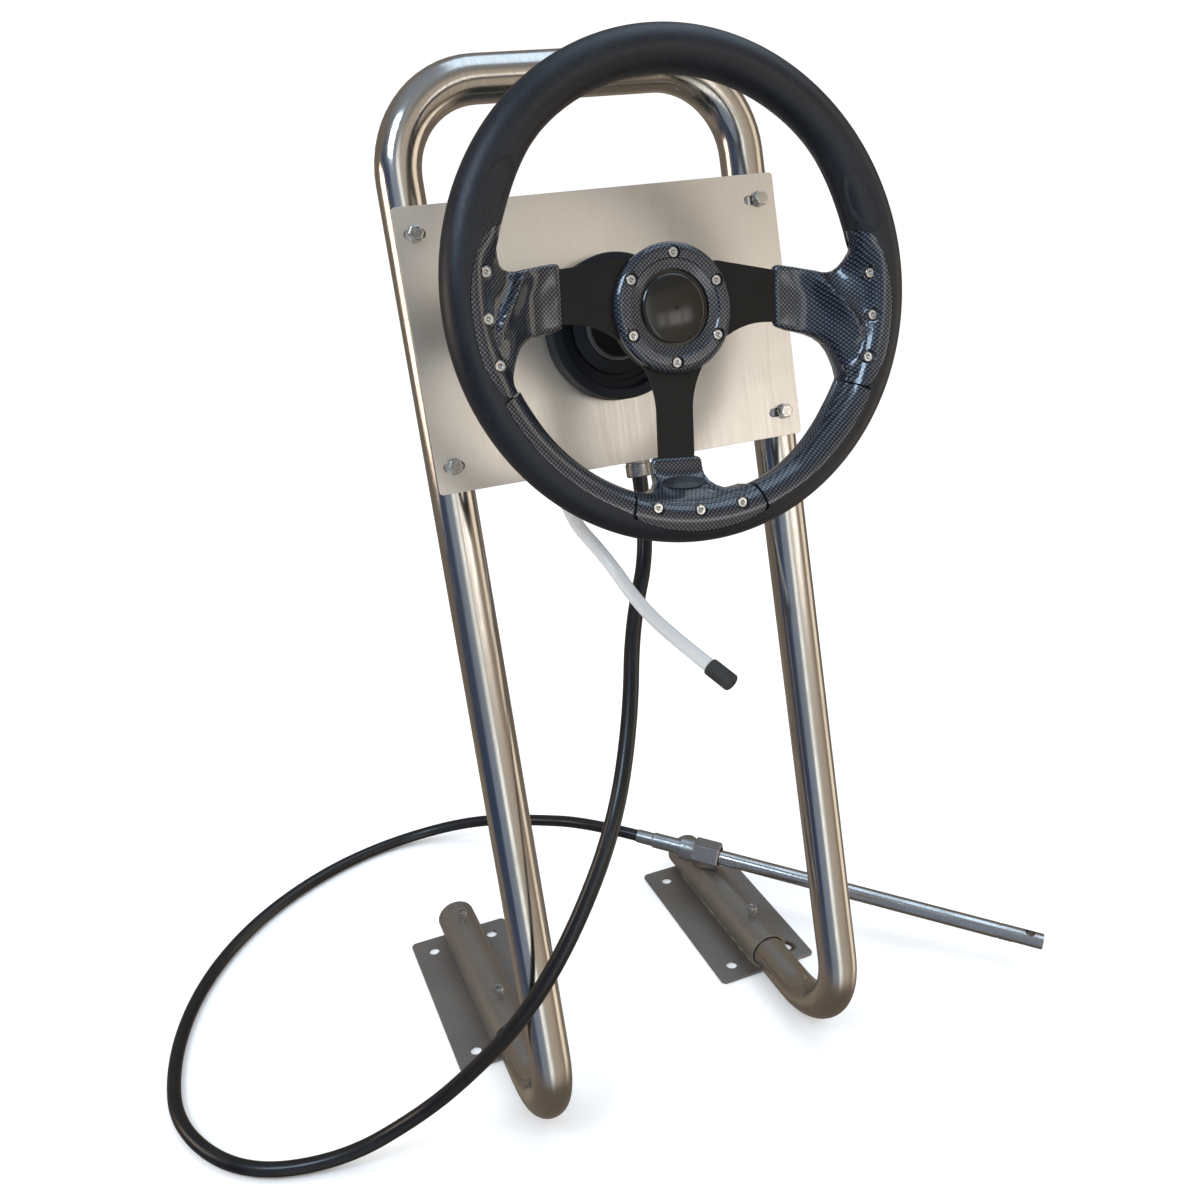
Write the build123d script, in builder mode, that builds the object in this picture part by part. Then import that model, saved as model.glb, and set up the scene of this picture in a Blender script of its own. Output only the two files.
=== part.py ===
from build123d import *
import math
import os

os.makedirs("parts", exist_ok=True)

# Stand of bent tube, leaning back in two clamp feet. All sizes are in millimetres and degrees.
lean_angle = 15.0
tube_r = 16.7
tube_wall = 2.0
leg_spacing = 272.0
leg_height = 850.0
lower_bend_r = 68.0
upper_bend_r = 66.0
tube_end_inset = 10.0

# Feet: a flat plate with a sleeve welded on it, and two clamp screws in each sleeve
plate_width = 104.0
plate_length = 190.0
plate_thickness = 2.5
plate_corner_r = 5.0
plate_edge = 0.4
foot_reach = 325.0
foot_hole_r = 5.5
foot_hole_inset = 20.0
sleeve_gap = 0.6
sleeve_wall = 2.0
sleeve_setback = 2.0
weld_width = 21.0
clamp_screw_r = 3.0
clamp_screw_inset = 33.0
clamp_screw_exposed = 7.0
clamp_head_r = 5.0
clamp_head_height = 6.0
clamp_socket_r = 2.9
clamp_socket_depth = 3.0

# Fits between pieces
thread_gap = 0.05
running_gap = 0.05
moving_gap = 0.3
shank_gap = 0.3

# Dash panel and its four bolts through the legs
panel_width = 300.0
panel_height = 200.0
panel_thickness = 2.0
panel_corner_r = 3.0
helm_below_top = 202.0
panel_bolt_up = 81.0
slot_length = 16.0
slot_width = 6.6
bolt_r = 3.0
bolt_head_across = 10.0
bolt_head_height = 4.0
bolt_edge = 0.6
bolt_end = 2.0
washer_r = 6.0
washer_thickness = 1.6
nut_height = 5.0

# Helm: heights are measured out of the panel's front face, towards the driver
bezel_r = 52.6
bezel_height = 17.4
bezel_edge = 1.0
bezel_lip_r = 44.8
bezel_step_r = 39.0
bezel_step_height = 8.0
bezel_cone_r = 34.0
bezel_floor_height = 5.5
bezel_cone_edge_height = 9.0
boss_r = 24.4
boss_height = 12.0
boss_gap = 0.4
flange_r = 55.0
flange_thickness = 6.0
neck_r = 37.0
mount_screw_r = 2.5
mount_screw_spread = 48.0
mount_screw_start = 45
mount_screw_count = 4
mount_screw_grip = 10.0
mount_head_r = 4.2
mount_head_height = 3.5
seal_r = 18.0
seal_thickness = 5.0
bush_r = 13.5

# Gear stage: a sun gear on the shaft, three planets on the drum and a fixed ring
gear_module = 1.5
sun_teeth = 12
planet_teeth = 12
planet_count = 3
gear_width = 14.0
gear_front_depth = 40.0
tooth_reach_share = 0.8
tooth_depth_share = 1.05
tooth_tip_share = 0.22
tooth_root_share = 0.46
ring_body = 4.5
ring_overlap = 1.0
planet_pin_r = 3.0
pin_head_r = 4.5
pin_head_height = 1.5
pin_seat = 20.0

# Cable drum, its chamber and the inner core that wraps it
drum_pitch_r = 35.0
drum_lip = 1.0
drum_width = 20.0
drum_depth = 69.0
core_r = 3.6
core_gap = 0.4
carrier_r = 24.5
journal_r = 12.0
journal_length = 6.0
thrust_r = 16.0
chamber_side_gap = 2.0
chamber_wall = 8.0
chamber_front_wall = 2.0
cover_thickness = 8.0
cover_screw_r = 2.0
cover_screw_count = 4
cover_screw_grip = 6.0
cover_head_r = 3.5
cover_head_height = 2.8
cable_boss_r = 10.5
cable_boss_reach = 92.0
coupler_length = 24.5
coupler_edge = 1.0
coupler_groove = 1.5
spent_boss_r = 9.0
spent_boss_reach = 80.0
outlet_r = 7.5
outlet_length = 12.0
nipple_length = 12.0

# Input shaft and what is keyed on it
shaft_r = 9.5
pilot_r = 6.0
shaft_end_r = 6.0
taper_start = 22.0
taper_end = 47.0
taper_end_r = 7.5
shaft_end_height = 64.0
shaft_edge = 1.0
key_width = 4.0
key_length = 16.0
key_rise = 2.0
drum_bush_r = 9.0
hub_nut_across = 19.0
hub_nut_height = 10.0
hub_washer_r = 10.0
hub_washer_thickness = 2.0

# Steering wheel: the hub plate, the rim and the hub ring
wheel_r = 160.0
rim_section_r = 14.5
rim_core_r = 5.0
rim_height = 126.85
rim_offset = 8.2
wheel_turn = 6.2
adapter_base_height = 14.0
adapter_base_r = 22.0
adapter_neck_height = 58.0
adapter_flange_r = 41.0
adapter_rim = 5.0
adapter_cavity_r = 14.0
adapter_mouth_r = 21.0
spring_seat_depth = 5.0
spoke_back_height = 103.0
spoke_thickness = 3.0
spoke_edge = 0.6
spoke_hub_r = 41.0
spoke_hole_r = 27.5
spoke_top = 22.0
spoke_shoulder_top = 31.0
spoke_shoulder_x = 35.0
spoke_bottom = 9.0
spoke_reach = 97.0
post_half_width = 13.0
post_reach = 108.0
web_r = 58.0
arm_embed = 3.5
hub_ring_r = 42.0
hub_ring_height = 6.8
hub_ring_shoulder = 3.4
hub_ring_crown_r = 36.0
hub_ring_step_r = 31.0
hub_ring_step_height = 5.6
hub_ring_lip_r = 25.0
hub_ring_lip_height = 4.4
hub_ring_edge = 1.0
ring_screw_spread = 35.0
ring_screw_count = 6
ring_screw_r = 2.0
ring_screw_grip = 12.0
ring_pocket_r = 4.4
ring_pocket_depth = 3.2
button_head_r = 3.4
button_head_height = 2.2
button_socket_r = 1.3
button_socket_depth = 1.2

# Centre push button and the rubber ring that stops it
button_r = 22.5
button_flange_r = 26.5
button_flange_thickness = 1.5
button_rise = 2.5
button_crown = 3.2
button_edge = 0.8
button_clearance = 0.8
button_travel = 2.0
stop_ring_r = 26.0
stop_ring_bore_r = 22.5

# Trim on the rim: side inserts over the spokes, a bottom insert and two lower arcs
trim_edge_offset = 0.5
bottom_edge_offset = 6.0
trim_back_depth = 8.0
side_top_angle = 15.0
side_bottom_angle = 27.5
bottom_half_angle = 19.0
cover_overlap = 1.5
side_cover_x = (76.0, 98.0, 113.0, 133.0)
side_cover_rise = (5.0, 8.5)
side_cover_climb = (0.965, 1.32)
side_cover_top = (26.5, 22.5, 15.5, 41.5)
side_cover_low = (14.0, 17.5, 28.0, 51.5)
bottom_cover_y = (96.0, 110.0, 116.5, 128.0)
bottom_cover_rise = (5.0, 8.0)
bottom_cover_climb = (0.713, 1.216)
bottom_cover_half_width = 18.2
bottom_cover_flare = 26.0
bottom_cover_flare_y = 118.0
pocket_r = 4.4
pocket_depth = 2.4
side_screw_places = ((133.0, 18.5), (133.5, -9.0), (128.5, -36.5))
bottom_screw_places = ((-30.0, -127.5), (0.0, -130.5), (30.0, -127.5))
insert_screw_r = 1.75
insert_screw_grip = 4.5
oval_length = 31.6
oval_width = 12.2
oval_thickness = 1.6
oval_lift = 1.2
oval_y = 113.5
oval_above_post = 3.95
oval_tilt = 48.0

# Steering cable, its end fitting and the ram
cable_r = 6.35
arc_share = 0.45
first_run = 56.0
last_run = 60.0
nut_x = 135.0
nut_y = 264.5
nut_z = 56.0
ram_heading = 43.9
ram_slope = 4.6
hub_behind_nut = 80.0
hub_r = 8.4
hub_tail_r = 7.3
hub_tail_length = 18.0
hub_step = 1.0
hub_front = 10.0
collar_length = 6.0
collar_r = 10.0
nut_across = 27.0
nut_length = 28.0
nut_collar_r = 13.0
nut_collar_length = 15.0
nut_bore_r = 10.2
nut_edge = 1.2
guide_r = 5.9
guide_wall = 1.5
guide_seat = 30.0
guide_reach = 290.0
ram_r = 7.95
ram_reach = 341.2
ram_travel = 228.6
ram_plug = 45.0
ram_groove_from_tip = 41.8
ram_groove_width = 1.4
ram_groove_depth = 0.5
ram_flat_length = 28.0
ram_flat_depth = 3.5
ram_eye_r = 4.8
ram_eye_from_tip = 13.0
ram_edge = 0.8

# Way of the cable as it hangs: (x, distance behind the legs' knees, share of the helm's fall)
hanging_places = (
    (-5.0, 122.0, 0.9015),
    (-34.0, 65.0, 0.7925),
    (-71.0, 16.0, 0.673),
    (-116.0, -4.0, 0.5255),
    (-156.0, 3.0, 0.378),
    (-194.0, 34.0, 0.2285),
    (-237.0, 65.0, 0.096),
)

# Its way over the floor and up to the hub: (x, distance behind the knees, height)
floor_places = (
    (-309.0, 80.0, 7.0),
    (-391.0, 102.0, 7.0),
    (-439.0, 174.0, 7.0),
    (-437.0, 256.0, 7.0),
    (-410.0, 337.0, 7.0),
    (-363.0, 405.0, 7.0),
    (-302.0, 457.0, 7.0),
    (-227.0, 495.0, 7.0),
    (-145.0, 512.0, 7.0),
    (-67.0, 482.0, 26.0),
    (-10.0, 428.0, 43.0),
)

# Spent-travel tube and its end cap; its way is given square to the panel, from the helm's centre
spent_places = (
    (-35.0, -134.0, -69.0),
    (-9.0, -176.0, -57.0),
    (-2.0, -214.0, -17.0),
    (12.0, -242.0, 21.0),
    (29.0, -268.0, 56.0),
)
spent_r = 5.5
spent_wall = 1.0
cap_r = 7.0
cap_length = 22.0
cap_grip = 17.0
cap_edge = 1.0

# Frame of the whole part: the origin lies on the floor, under the middle of the part's own box
lean = math.radians(lean_angle)
turn = math.radians(wheel_turn)
up = Vector(0, math.sin(lean), math.cos(lean))
out = Vector(0, -math.cos(lean), math.sin(lean))
across = Vector(1, 0, 0)
wheel_across = across * math.cos(turn) - up * math.sin(turn)
wheel_up = up * math.cos(turn) + across * math.sin(turn)
leg_x = leg_spacing / 2
helm_up = leg_height - helm_below_top
sleeve_r = tube_r + sleeve_gap + sleeve_wall
tube_axis_z = plate_thickness + sleeve_r
panel_front = tube_r + panel_thickness
rim_line_r = wheel_r - rim_section_r
rim_up = helm_up + rim_offset * math.cos(turn)
rim_out = panel_front + rim_height
rim_front_y = rim_up * up.Y + rim_out * out.Y - rim_line_r * up.Y - rim_section_r
origin_y = (rim_front_y + foot_reach) / 2
knee = Vector(0, -origin_y, tube_axis_z)
plate_far_y = foot_reach - origin_y
plate_middle_y = plate_far_y - plate_length / 2
helm_centre = knee + up * helm_up + out * panel_front
rim_centre = helm_centre + wheel_up * rim_offset


# A plane square to the helm's axis, at a height out of the panel's front face
def helm_plane(height):
    return Plane(origin=helm_centre + out * height, x_dir=across, z_dir=out)


# The same for the wheel, which stands turned a little clockwise
def wheel_plane(height):
    return Plane(origin=helm_centre + out * height, x_dir=wheel_across, z_dir=out)


# Radius along X and height along Y, for pieces turned about the helm's axis
turning_plane = Plane(origin=helm_centre, x_dir=across, z_dir=-up)
helm_axis = Axis(helm_centre, out)
rim_turning_plane = Plane(origin=rim_centre, x_dir=wheel_across, z_dir=-wheel_up)
rim_axis = Axis(rim_centre, out)


# Base plates, with four floor holes each
for side, label in ((-1, "left_base_plate"), (1, "right_base_plate")):
    with BuildPart() as base_plate:
        with BuildSketch(Plane(origin=(side * leg_x, plate_middle_y, 0))):
            RectangleRounded(plate_width, plate_length, plate_corner_r)
            with GridLocations(
                plate_width - 2 * foot_hole_inset, plate_length - 2 * foot_hole_inset, 2, 2
            ):
                Circle(foot_hole_r, mode=Mode.SUBTRACT)
        extrude(amount=plate_thickness)
        chamfer(base_plate.faces().sort_by(Axis.Z)[-1].outer_wire().edges(), plate_edge)
    base_plate.part.label = label
    export_step(base_plate.part, f"parts/{label}.step")

# Sleeves, each with a weld bead along both sides of its line on the plate
sleeve_length = plate_length - sleeve_setback
sleeve_near_y = plate_far_y - sleeve_length
weld_height = sleeve_r - math.sqrt(sleeve_r**2 - (weld_width / 2) ** 2)
clamp_screw_ys = (sleeve_near_y + clamp_screw_inset, plate_far_y - clamp_screw_inset)
for side, label in ((-1, "left_sleeve"), (1, "right_sleeve")):
    sleeve_end = Vector(side * leg_x, plate_far_y, tube_axis_z)
    with BuildPart() as sleeve:
        with BuildSketch(Plane(origin=sleeve_end, x_dir=across, z_dir=(0, -1, 0))):
            Circle(sleeve_r)
            with Locations((0, -sleeve_r)):
                Rectangle(weld_width, weld_height, align=(Align.CENTER, Align.MIN))
            Circle(tube_r + sleeve_gap, mode=Mode.SUBTRACT)
        extrude(amount=sleeve_length)
        with BuildSketch(Plane.XY.offset(tube_axis_z)):
            with Locations(*[(side * leg_x, y) for y in clamp_screw_ys]):
                Circle(clamp_screw_r + thread_gap)
        extrude(amount=sleeve_r, mode=Mode.SUBTRACT)
    sleeve.part.label = label
    export_step(sleeve.part, f"parts/{label}.step")

# Four socket-head clamp screws, bearing on the tube's crown
clamp_places = [(side * leg_x, y) for side in (-1, 1) for y in clamp_screw_ys]
clamp_tip_z = tube_axis_z + tube_r
clamp_head_z = tube_axis_z + sleeve_r + clamp_screw_exposed
with BuildPart() as clamp_screws:
    with BuildSketch(Plane.XY.offset(clamp_tip_z)):
        with Locations(*clamp_places):
            Circle(clamp_screw_r)
    extrude(amount=clamp_head_z - clamp_tip_z)
    with BuildSketch(Plane.XY.offset(clamp_head_z)):
        with Locations(*clamp_places):
            Circle(clamp_head_r)
    extrude(amount=clamp_head_height)
    with BuildSketch(Plane.XY.offset(clamp_head_z + clamp_head_height)):
        with Locations(*clamp_places):
            RegularPolygon(clamp_socket_r, 6)
    extrude(amount=-clamp_socket_depth, mode=Mode.SUBTRACT)
clamp_screws.part.label = "clamp_screws"
export_step(clamp_screws.part, "parts/clamp_screws.step")

# One tube bent four times: sleeve, knee, leg, crossbar, leg, knee, sleeve
tube_end_y = plate_far_y - tube_end_inset
leg_line = leg_height - tube_r
tube_corners = []
for side in (1, -1):
    tube_corners.append(
        [
            Vector(side * leg_x, tube_end_y, tube_axis_z),
            knee + across * side * leg_x,
            knee + across * side * leg_x + up * leg_line,
        ]
    )
tube_route = tube_corners[0] + tube_corners[1][::-1]
bolt_places = [(x, y) for x in (-leg_x, leg_x) for y in (-panel_bolt_up, panel_bolt_up)]
with BuildPart() as frame_tube:
    with BuildLine() as tube_line:
        FilletPolyline(*tube_route, radius=[lower_bend_r, upper_bend_r, upper_bend_r, lower_bend_r])
    with BuildSketch(Plane(origin=tube_line.line @ 0, z_dir=tube_line.line % 0)):
        Circle(tube_r)
        Circle(tube_r - tube_wall, mode=Mode.SUBTRACT)
    sweep()
    with BuildSketch(helm_plane(0)):
        with Locations(*bolt_places):
            Circle(bolt_r + shank_gap)
    extrude(amount=-(panel_front + tube_r * 2), mode=Mode.SUBTRACT)
frame_tube.part.label = "frame_tube"
export_step(frame_tube.part, "parts/frame_tube.step")

# Dash panel: the right-hand slots lie inboard of the leg, so their bolts sit at the slots' ends
slot_shift = (slot_length - slot_width) / 2
panel_hole_r = boss_r + boss_gap
with BuildPart() as panel_plate:
    with BuildSketch(helm_plane(0)):
        RectangleRounded(panel_width, panel_height, panel_corner_r)
        Circle(panel_hole_r, mode=Mode.SUBTRACT)
        with PolarLocations(mount_screw_spread, mount_screw_count, start_angle=mount_screw_start):
            Circle(mount_screw_r + shank_gap, mode=Mode.SUBTRACT)
        for y in (-panel_bolt_up, panel_bolt_up):
            with Locations((-leg_x, y), (leg_x - slot_shift, y)):
                SlotOverall(slot_length, slot_width, mode=Mode.SUBTRACT)
    extrude(amount=-panel_thickness)
panel_plate.part.label = "panel_plate"
export_step(panel_plate.part, "parts/panel_plate.step")

# Hexagon bolts, washers under their heads and nuts behind the legs
nut_back = -(panel_thickness + 2 * tube_r + nut_height)
with BuildPart() as panel_bolts:
    with BuildSketch(helm_plane(washer_thickness)):
        with Locations(*bolt_places):
            RegularPolygon(bolt_head_across / 2, 6, major_radius=False)
    extrude(amount=bolt_head_height)
    chamfer(panel_bolts.faces().sort_by(helm_axis).group_by(helm_axis)[-1].edges(), bolt_edge)
    with BuildSketch(helm_plane(washer_thickness)):
        with Locations(*bolt_places):
            Circle(bolt_r)
    extrude(amount=nut_back - bolt_end - washer_thickness)
panel_bolts.part.label = "panel_bolts"
export_step(panel_bolts.part, "parts/panel_bolts.step")

with BuildPart() as panel_washers:
    with BuildSketch(helm_plane(0)):
        with Locations(*bolt_places):
            Circle(washer_r)
            Circle(bolt_r + shank_gap, mode=Mode.SUBTRACT)
    extrude(amount=washer_thickness)
panel_washers.part.label = "panel_washers"
export_step(panel_washers.part, "parts/panel_washers.step")

with BuildPart() as panel_nuts:
    with BuildSketch(helm_plane(nut_back)):
        with Locations(*bolt_places):
            RegularPolygon(bolt_head_across / 2, 6, major_radius=False)
            Circle(bolt_r + thread_gap, mode=Mode.SUBTRACT)
    extrude(amount=nut_height)
panel_nuts.part.label = "panel_nuts"
export_step(panel_nuts.part, "parts/panel_nuts.step")

# Helm bezel: a dished ring on the panel's face, held by screws from behind
with BuildPart() as helm_bezel:
    with BuildSketch(turning_plane):
        with BuildLine():
            Polyline(
                (boss_r + boss_gap, 0),
                (bezel_r, 0),
                (bezel_r, bezel_height - bezel_edge),
                (bezel_r - bezel_edge, bezel_height),
                (bezel_lip_r + bezel_edge, bezel_height),
                (bezel_lip_r, bezel_height - bezel_edge),
                (bezel_lip_r, bezel_step_height),
                (bezel_step_r, bezel_step_height),
                (bezel_step_r, bezel_floor_height),
                (bezel_cone_r, bezel_floor_height),
                (bezel_cone_r, bezel_cone_edge_height),
                (boss_r + boss_gap, boss_height),
                close=True,
            )
        make_face()
    revolve(axis=helm_axis)
    with BuildSketch(helm_plane(0)):
        with PolarLocations(mount_screw_spread, mount_screw_count, start_angle=mount_screw_start):
            Circle(mount_screw_r + thread_gap)
    extrude(amount=mount_screw_grip + bezel_edge, mode=Mode.SUBTRACT)
helm_bezel.part.label = "helm_bezel"
export_step(helm_bezel.part, "parts/helm_bezel.step")

# Gear sizes
sun_pitch_r = gear_module * sun_teeth / 2
planet_pitch_r = gear_module * planet_teeth / 2
planet_circle_r = sun_pitch_r + planet_pitch_r
ring_teeth = sun_teeth + 2 * planet_teeth
ring_pitch_r = gear_module * ring_teeth / 2
tooth_reach = gear_module * tooth_reach_share
tooth_depth = gear_module * tooth_depth_share
tooth_pitch = gear_module * math.pi
gear_back_depth = gear_front_depth + gear_width
ring_front_depth = gear_front_depth - ring_overlap
ring_back_depth = gear_back_depth + ring_overlap
ring_r = ring_pitch_r + tooth_depth + ring_body
chamber_r = drum_pitch_r + core_r + core_gap
housing_r = chamber_r + chamber_wall
chamber_front_depth = drum_depth - drum_width / 2 - chamber_side_gap
chamber_back_depth = drum_depth + drum_width / 2 + chamber_side_gap
cover_back_depth = chamber_back_depth + cover_thickness
cover_screw_spread = chamber_r + chamber_wall / 2
flange_back = -(panel_thickness + flange_thickness)
seal_front = boss_height - bezel_edge
seal_back = seal_front - seal_thickness
gear_room_depth = ring_front_depth - 2 * pin_head_height
gear_room_r = planet_circle_r + pin_head_r + 2 * pin_head_height

# Helm housing: front boss, flange, gear neck and cable chamber in one casting
with BuildPart() as helm_housing:
    with BuildSketch(turning_plane):
        with BuildLine():
            Polyline(
                (bush_r, -gear_room_depth),
                (bush_r, seal_back),
                (seal_r, seal_back),
                (seal_r, boss_height),
                (boss_r, boss_height),
                (boss_r, -panel_thickness),
                (flange_r, -panel_thickness),
                (flange_r, flange_back),
                (neck_r, flange_back),
                (neck_r, -chamber_front_depth + chamber_front_wall),
                (housing_r, -chamber_front_depth + chamber_front_wall),
                (housing_r, -chamber_back_depth),
                (chamber_r, -chamber_back_depth),
                (chamber_r, -chamber_front_depth),
                (ring_r, -chamber_front_depth),
                (ring_r, -ring_front_depth),
                (gear_room_r, -ring_front_depth),
                (gear_room_r, -gear_room_depth),
                close=True,
            )
        make_face()
    revolve(axis=helm_axis)
    for side, boss_side_r, reach in (
        (1, cable_boss_r, cable_boss_reach),
        (-1, spent_boss_r, spent_boss_reach),
    ):
        boss_start = helm_centre + across * side * drum_pitch_r - out * drum_depth
        with BuildSketch(Plane(origin=boss_start, x_dir=across, z_dir=-up)):
            Circle(boss_side_r)
        extrude(amount=reach)
    with BuildSketch(helm_plane(-chamber_back_depth)):
        Circle(chamber_r)
    extrude(amount=chamber_back_depth - chamber_front_depth, mode=Mode.SUBTRACT)
    for side, reach in ((1, cable_boss_reach), (-1, spent_boss_reach)):
        boss_start = helm_centre + across * side * drum_pitch_r - out * drum_depth
        with BuildSketch(Plane(origin=boss_start, x_dir=across, z_dir=-up)):
            Circle(core_r + core_gap)
        extrude(amount=reach, mode=Mode.SUBTRACT)
    with BuildSketch(helm_plane(-panel_thickness)):
        with PolarLocations(mount_screw_spread, mount_screw_count, start_angle=mount_screw_start):
            Circle(mount_screw_r + shank_gap)
    extrude(amount=-flange_thickness, mode=Mode.SUBTRACT)
    with BuildSketch(helm_plane(-chamber_back_depth)):
        with PolarLocations(cover_screw_spread, cover_screw_count):
            Circle(cover_screw_r + thread_gap)
    extrude(amount=cover_screw_grip, mode=Mode.SUBTRACT)
helm_housing.part.label = "helm_housing"
export_step(helm_housing.part, "parts/helm_housing.step")

# Screws from behind the flange, through the panel into the bezel
with BuildPart() as mount_screws:
    with BuildSketch(helm_plane(flange_back)):
        with PolarLocations(mount_screw_spread, mount_screw_count, start_angle=mount_screw_start):
            Circle(mount_head_r)
    extrude(amount=-mount_head_height)
    with BuildSketch(helm_plane(flange_back)):
        with PolarLocations(mount_screw_spread, mount_screw_count, start_angle=mount_screw_start):
            Circle(mount_screw_r)
    extrude(amount=mount_screw_grip - flange_back)
mount_screws.part.label = "mount_screws"
export_step(mount_screws.part, "parts/mount_screws.step")

# Rear cover with the drum's blind bearing bore, and its screws
with BuildPart() as rear_cover:
    with BuildSketch(helm_plane(-cover_back_depth)):
        Circle(housing_r)
    extrude(amount=cover_thickness)
    chamfer(rear_cover.faces().sort_by(helm_axis)[0].outer_wire().edges(), coupler_edge)
    with BuildSketch(helm_plane(-chamber_back_depth)):
        Circle(journal_r + running_gap)
    extrude(amount=-(journal_length + moving_gap), mode=Mode.SUBTRACT)
    with BuildSketch(helm_plane(-cover_back_depth)):
        with PolarLocations(cover_screw_spread, cover_screw_count):
            Circle(cover_screw_r + shank_gap)
    extrude(amount=cover_thickness, mode=Mode.SUBTRACT)
rear_cover.part.label = "rear_cover"
export_step(rear_cover.part, "parts/rear_cover.step")

with BuildPart() as cover_screws:
    with BuildSketch(helm_plane(-cover_back_depth)):
        with PolarLocations(cover_screw_spread, cover_screw_count):
            Circle(cover_head_r)
    extrude(amount=-cover_head_height)
    with BuildSketch(helm_plane(-cover_back_depth)):
        with PolarLocations(cover_screw_spread, cover_screw_count):
            Circle(cover_screw_r)
    extrude(amount=cover_thickness + cover_screw_grip - running_gap)
cover_screws.part.label = "cover_screws"
export_step(cover_screws.part, "parts/cover_screws.step")

# Front bush and lip seal in the housing's boss
with BuildPart() as front_bush:
    with BuildSketch(helm_plane(seal_back)):
        Circle(bush_r)
        Circle(shaft_r + running_gap, mode=Mode.SUBTRACT)
    extrude(amount=-(gear_room_depth + seal_back))
front_bush.part.label = "front_bush"
export_step(front_bush.part, "parts/front_bush.step")

with BuildPart() as shaft_seal:
    with BuildSketch(helm_plane(seal_back)):
        Circle(seal_r)
        Circle(shaft_r + running_gap, mode=Mode.SUBTRACT)
    extrude(amount=seal_thickness)
shaft_seal.part.label = "shaft_seal"
export_step(shaft_seal.part, "parts/shaft_seal.step")


# A tooth that points along X from a root circle to a tip circle
def draw_tooth(root_r, tip_r):
    half_root = tooth_pitch * tooth_root_share / 2
    half_tip = tooth_pitch * tooth_tip_share / 2
    Polygon((root_r, half_root), (root_r, -half_root), (tip_r, -half_tip), (tip_r, half_tip), align=None)


# Fixed ring gear, seated against the shoulder in the neck
with BuildPart() as ring_gear:
    with BuildSketch(helm_plane(-ring_back_depth)):
        Circle(ring_r)
        Circle(ring_pitch_r + tooth_depth, mode=Mode.SUBTRACT)
        with PolarLocations(0, ring_teeth):
            draw_tooth(ring_pitch_r + tooth_depth + ring_overlap, ring_pitch_r - tooth_reach)
    extrude(amount=ring_back_depth - ring_front_depth)
ring_gear.part.label = "ring_gear"
export_step(ring_gear.part, "parts/ring_gear.step")

# Sun gear, pressed on the shaft's pilot
with BuildPart() as sun_gear:
    with BuildSketch(helm_plane(-gear_back_depth)):
        Circle(sun_pitch_r - tooth_depth)
        with PolarLocations(0, sun_teeth):
            draw_tooth(sun_pitch_r - tooth_depth - tooth_reach / 2, sun_pitch_r + tooth_reach)
        Circle(pilot_r, mode=Mode.SUBTRACT)
    extrude(amount=gear_width)
sun_gear.part.label = "sun_gear"
export_step(sun_gear.part, "parts/sun_gear.step")

# Planet gears on the drum's pins, half a tooth round from the sun
for number in range(planet_count):
    angle = math.radians(90 + number * 360 / planet_count)
    planet_place = (planet_circle_r * math.cos(angle), planet_circle_r * math.sin(angle))
    planet_centre = helm_plane(-gear_back_depth).from_local_coords(Vector(*planet_place, 0))
    label = f"planet_gear_{number + 1}"
    with BuildPart() as planet_gear:
        with BuildSketch(Plane(origin=planet_centre, x_dir=across, z_dir=out)):
            Circle(planet_pitch_r - tooth_depth)
            with PolarLocations(0, planet_teeth, start_angle=180 / planet_teeth):
                draw_tooth(planet_pitch_r - tooth_depth - tooth_reach / 2, planet_pitch_r + tooth_reach)
            Circle(planet_pin_r + running_gap, mode=Mode.SUBTRACT)
        extrude(amount=gear_width)
    planet_gear.part.label = label
    export_step(planet_gear.part, f"parts/{label}.step")

# Cable drum: grooved for the core, with the planets' carrier in front and a journal behind
carrier_front_depth = gear_back_depth + 2 * moving_gap
drum_front_depth = drum_depth - drum_width / 2
drum_back_depth = drum_depth + drum_width / 2
thrust_depth = chamber_back_depth - moving_gap
bush_back_depth = drum_back_depth - core_r
with BuildPart() as cable_drum:
    with BuildSketch(turning_plane):
        with BuildLine():
            Polyline(
                (drum_bush_r, -carrier_front_depth),
                (carrier_r, -carrier_front_depth),
                (carrier_r, -drum_front_depth),
                (drum_pitch_r + drum_lip, -drum_front_depth),
                (drum_pitch_r + drum_lip, -drum_back_depth),
                (thrust_r, -drum_back_depth),
                (thrust_r, -thrust_depth),
                (journal_r, -thrust_depth),
                (journal_r, -(chamber_back_depth + journal_length)),
                (0, -(chamber_back_depth + journal_length)),
                (0, -bush_back_depth),
                (drum_bush_r, -bush_back_depth),
                close=True,
            )
        make_face()
        with Locations((drum_pitch_r, -drum_depth)):
            Circle(core_r + moving_gap, mode=Mode.SUBTRACT)
    revolve(axis=helm_axis)
    with BuildSketch(helm_plane(-carrier_front_depth)):
        with PolarLocations(planet_circle_r, planet_count, start_angle=90):
            Circle(planet_pin_r)
    extrude(amount=-pin_seat, mode=Mode.SUBTRACT)
cable_drum.part.label = "cable_drum"
export_step(cable_drum.part, "parts/cable_drum.step")

# Pins pressed in the drum, with heads that keep the planets on
pin_head_depth = gear_front_depth - moving_gap
with BuildPart() as planet_pins:
    with BuildSketch(helm_plane(-(carrier_front_depth + pin_seat))):
        with PolarLocations(planet_circle_r, planet_count, start_angle=90):
            Circle(planet_pin_r)
    extrude(amount=carrier_front_depth + pin_seat - pin_head_depth)
    with BuildSketch(helm_plane(-pin_head_depth)):
        with PolarLocations(planet_circle_r, planet_count, start_angle=90):
            Circle(pin_head_r)
    extrude(amount=pin_head_height)
planet_pins.part.label = "planet_pins"
export_step(planet_pins.part, "parts/planet_pins.step")

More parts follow.
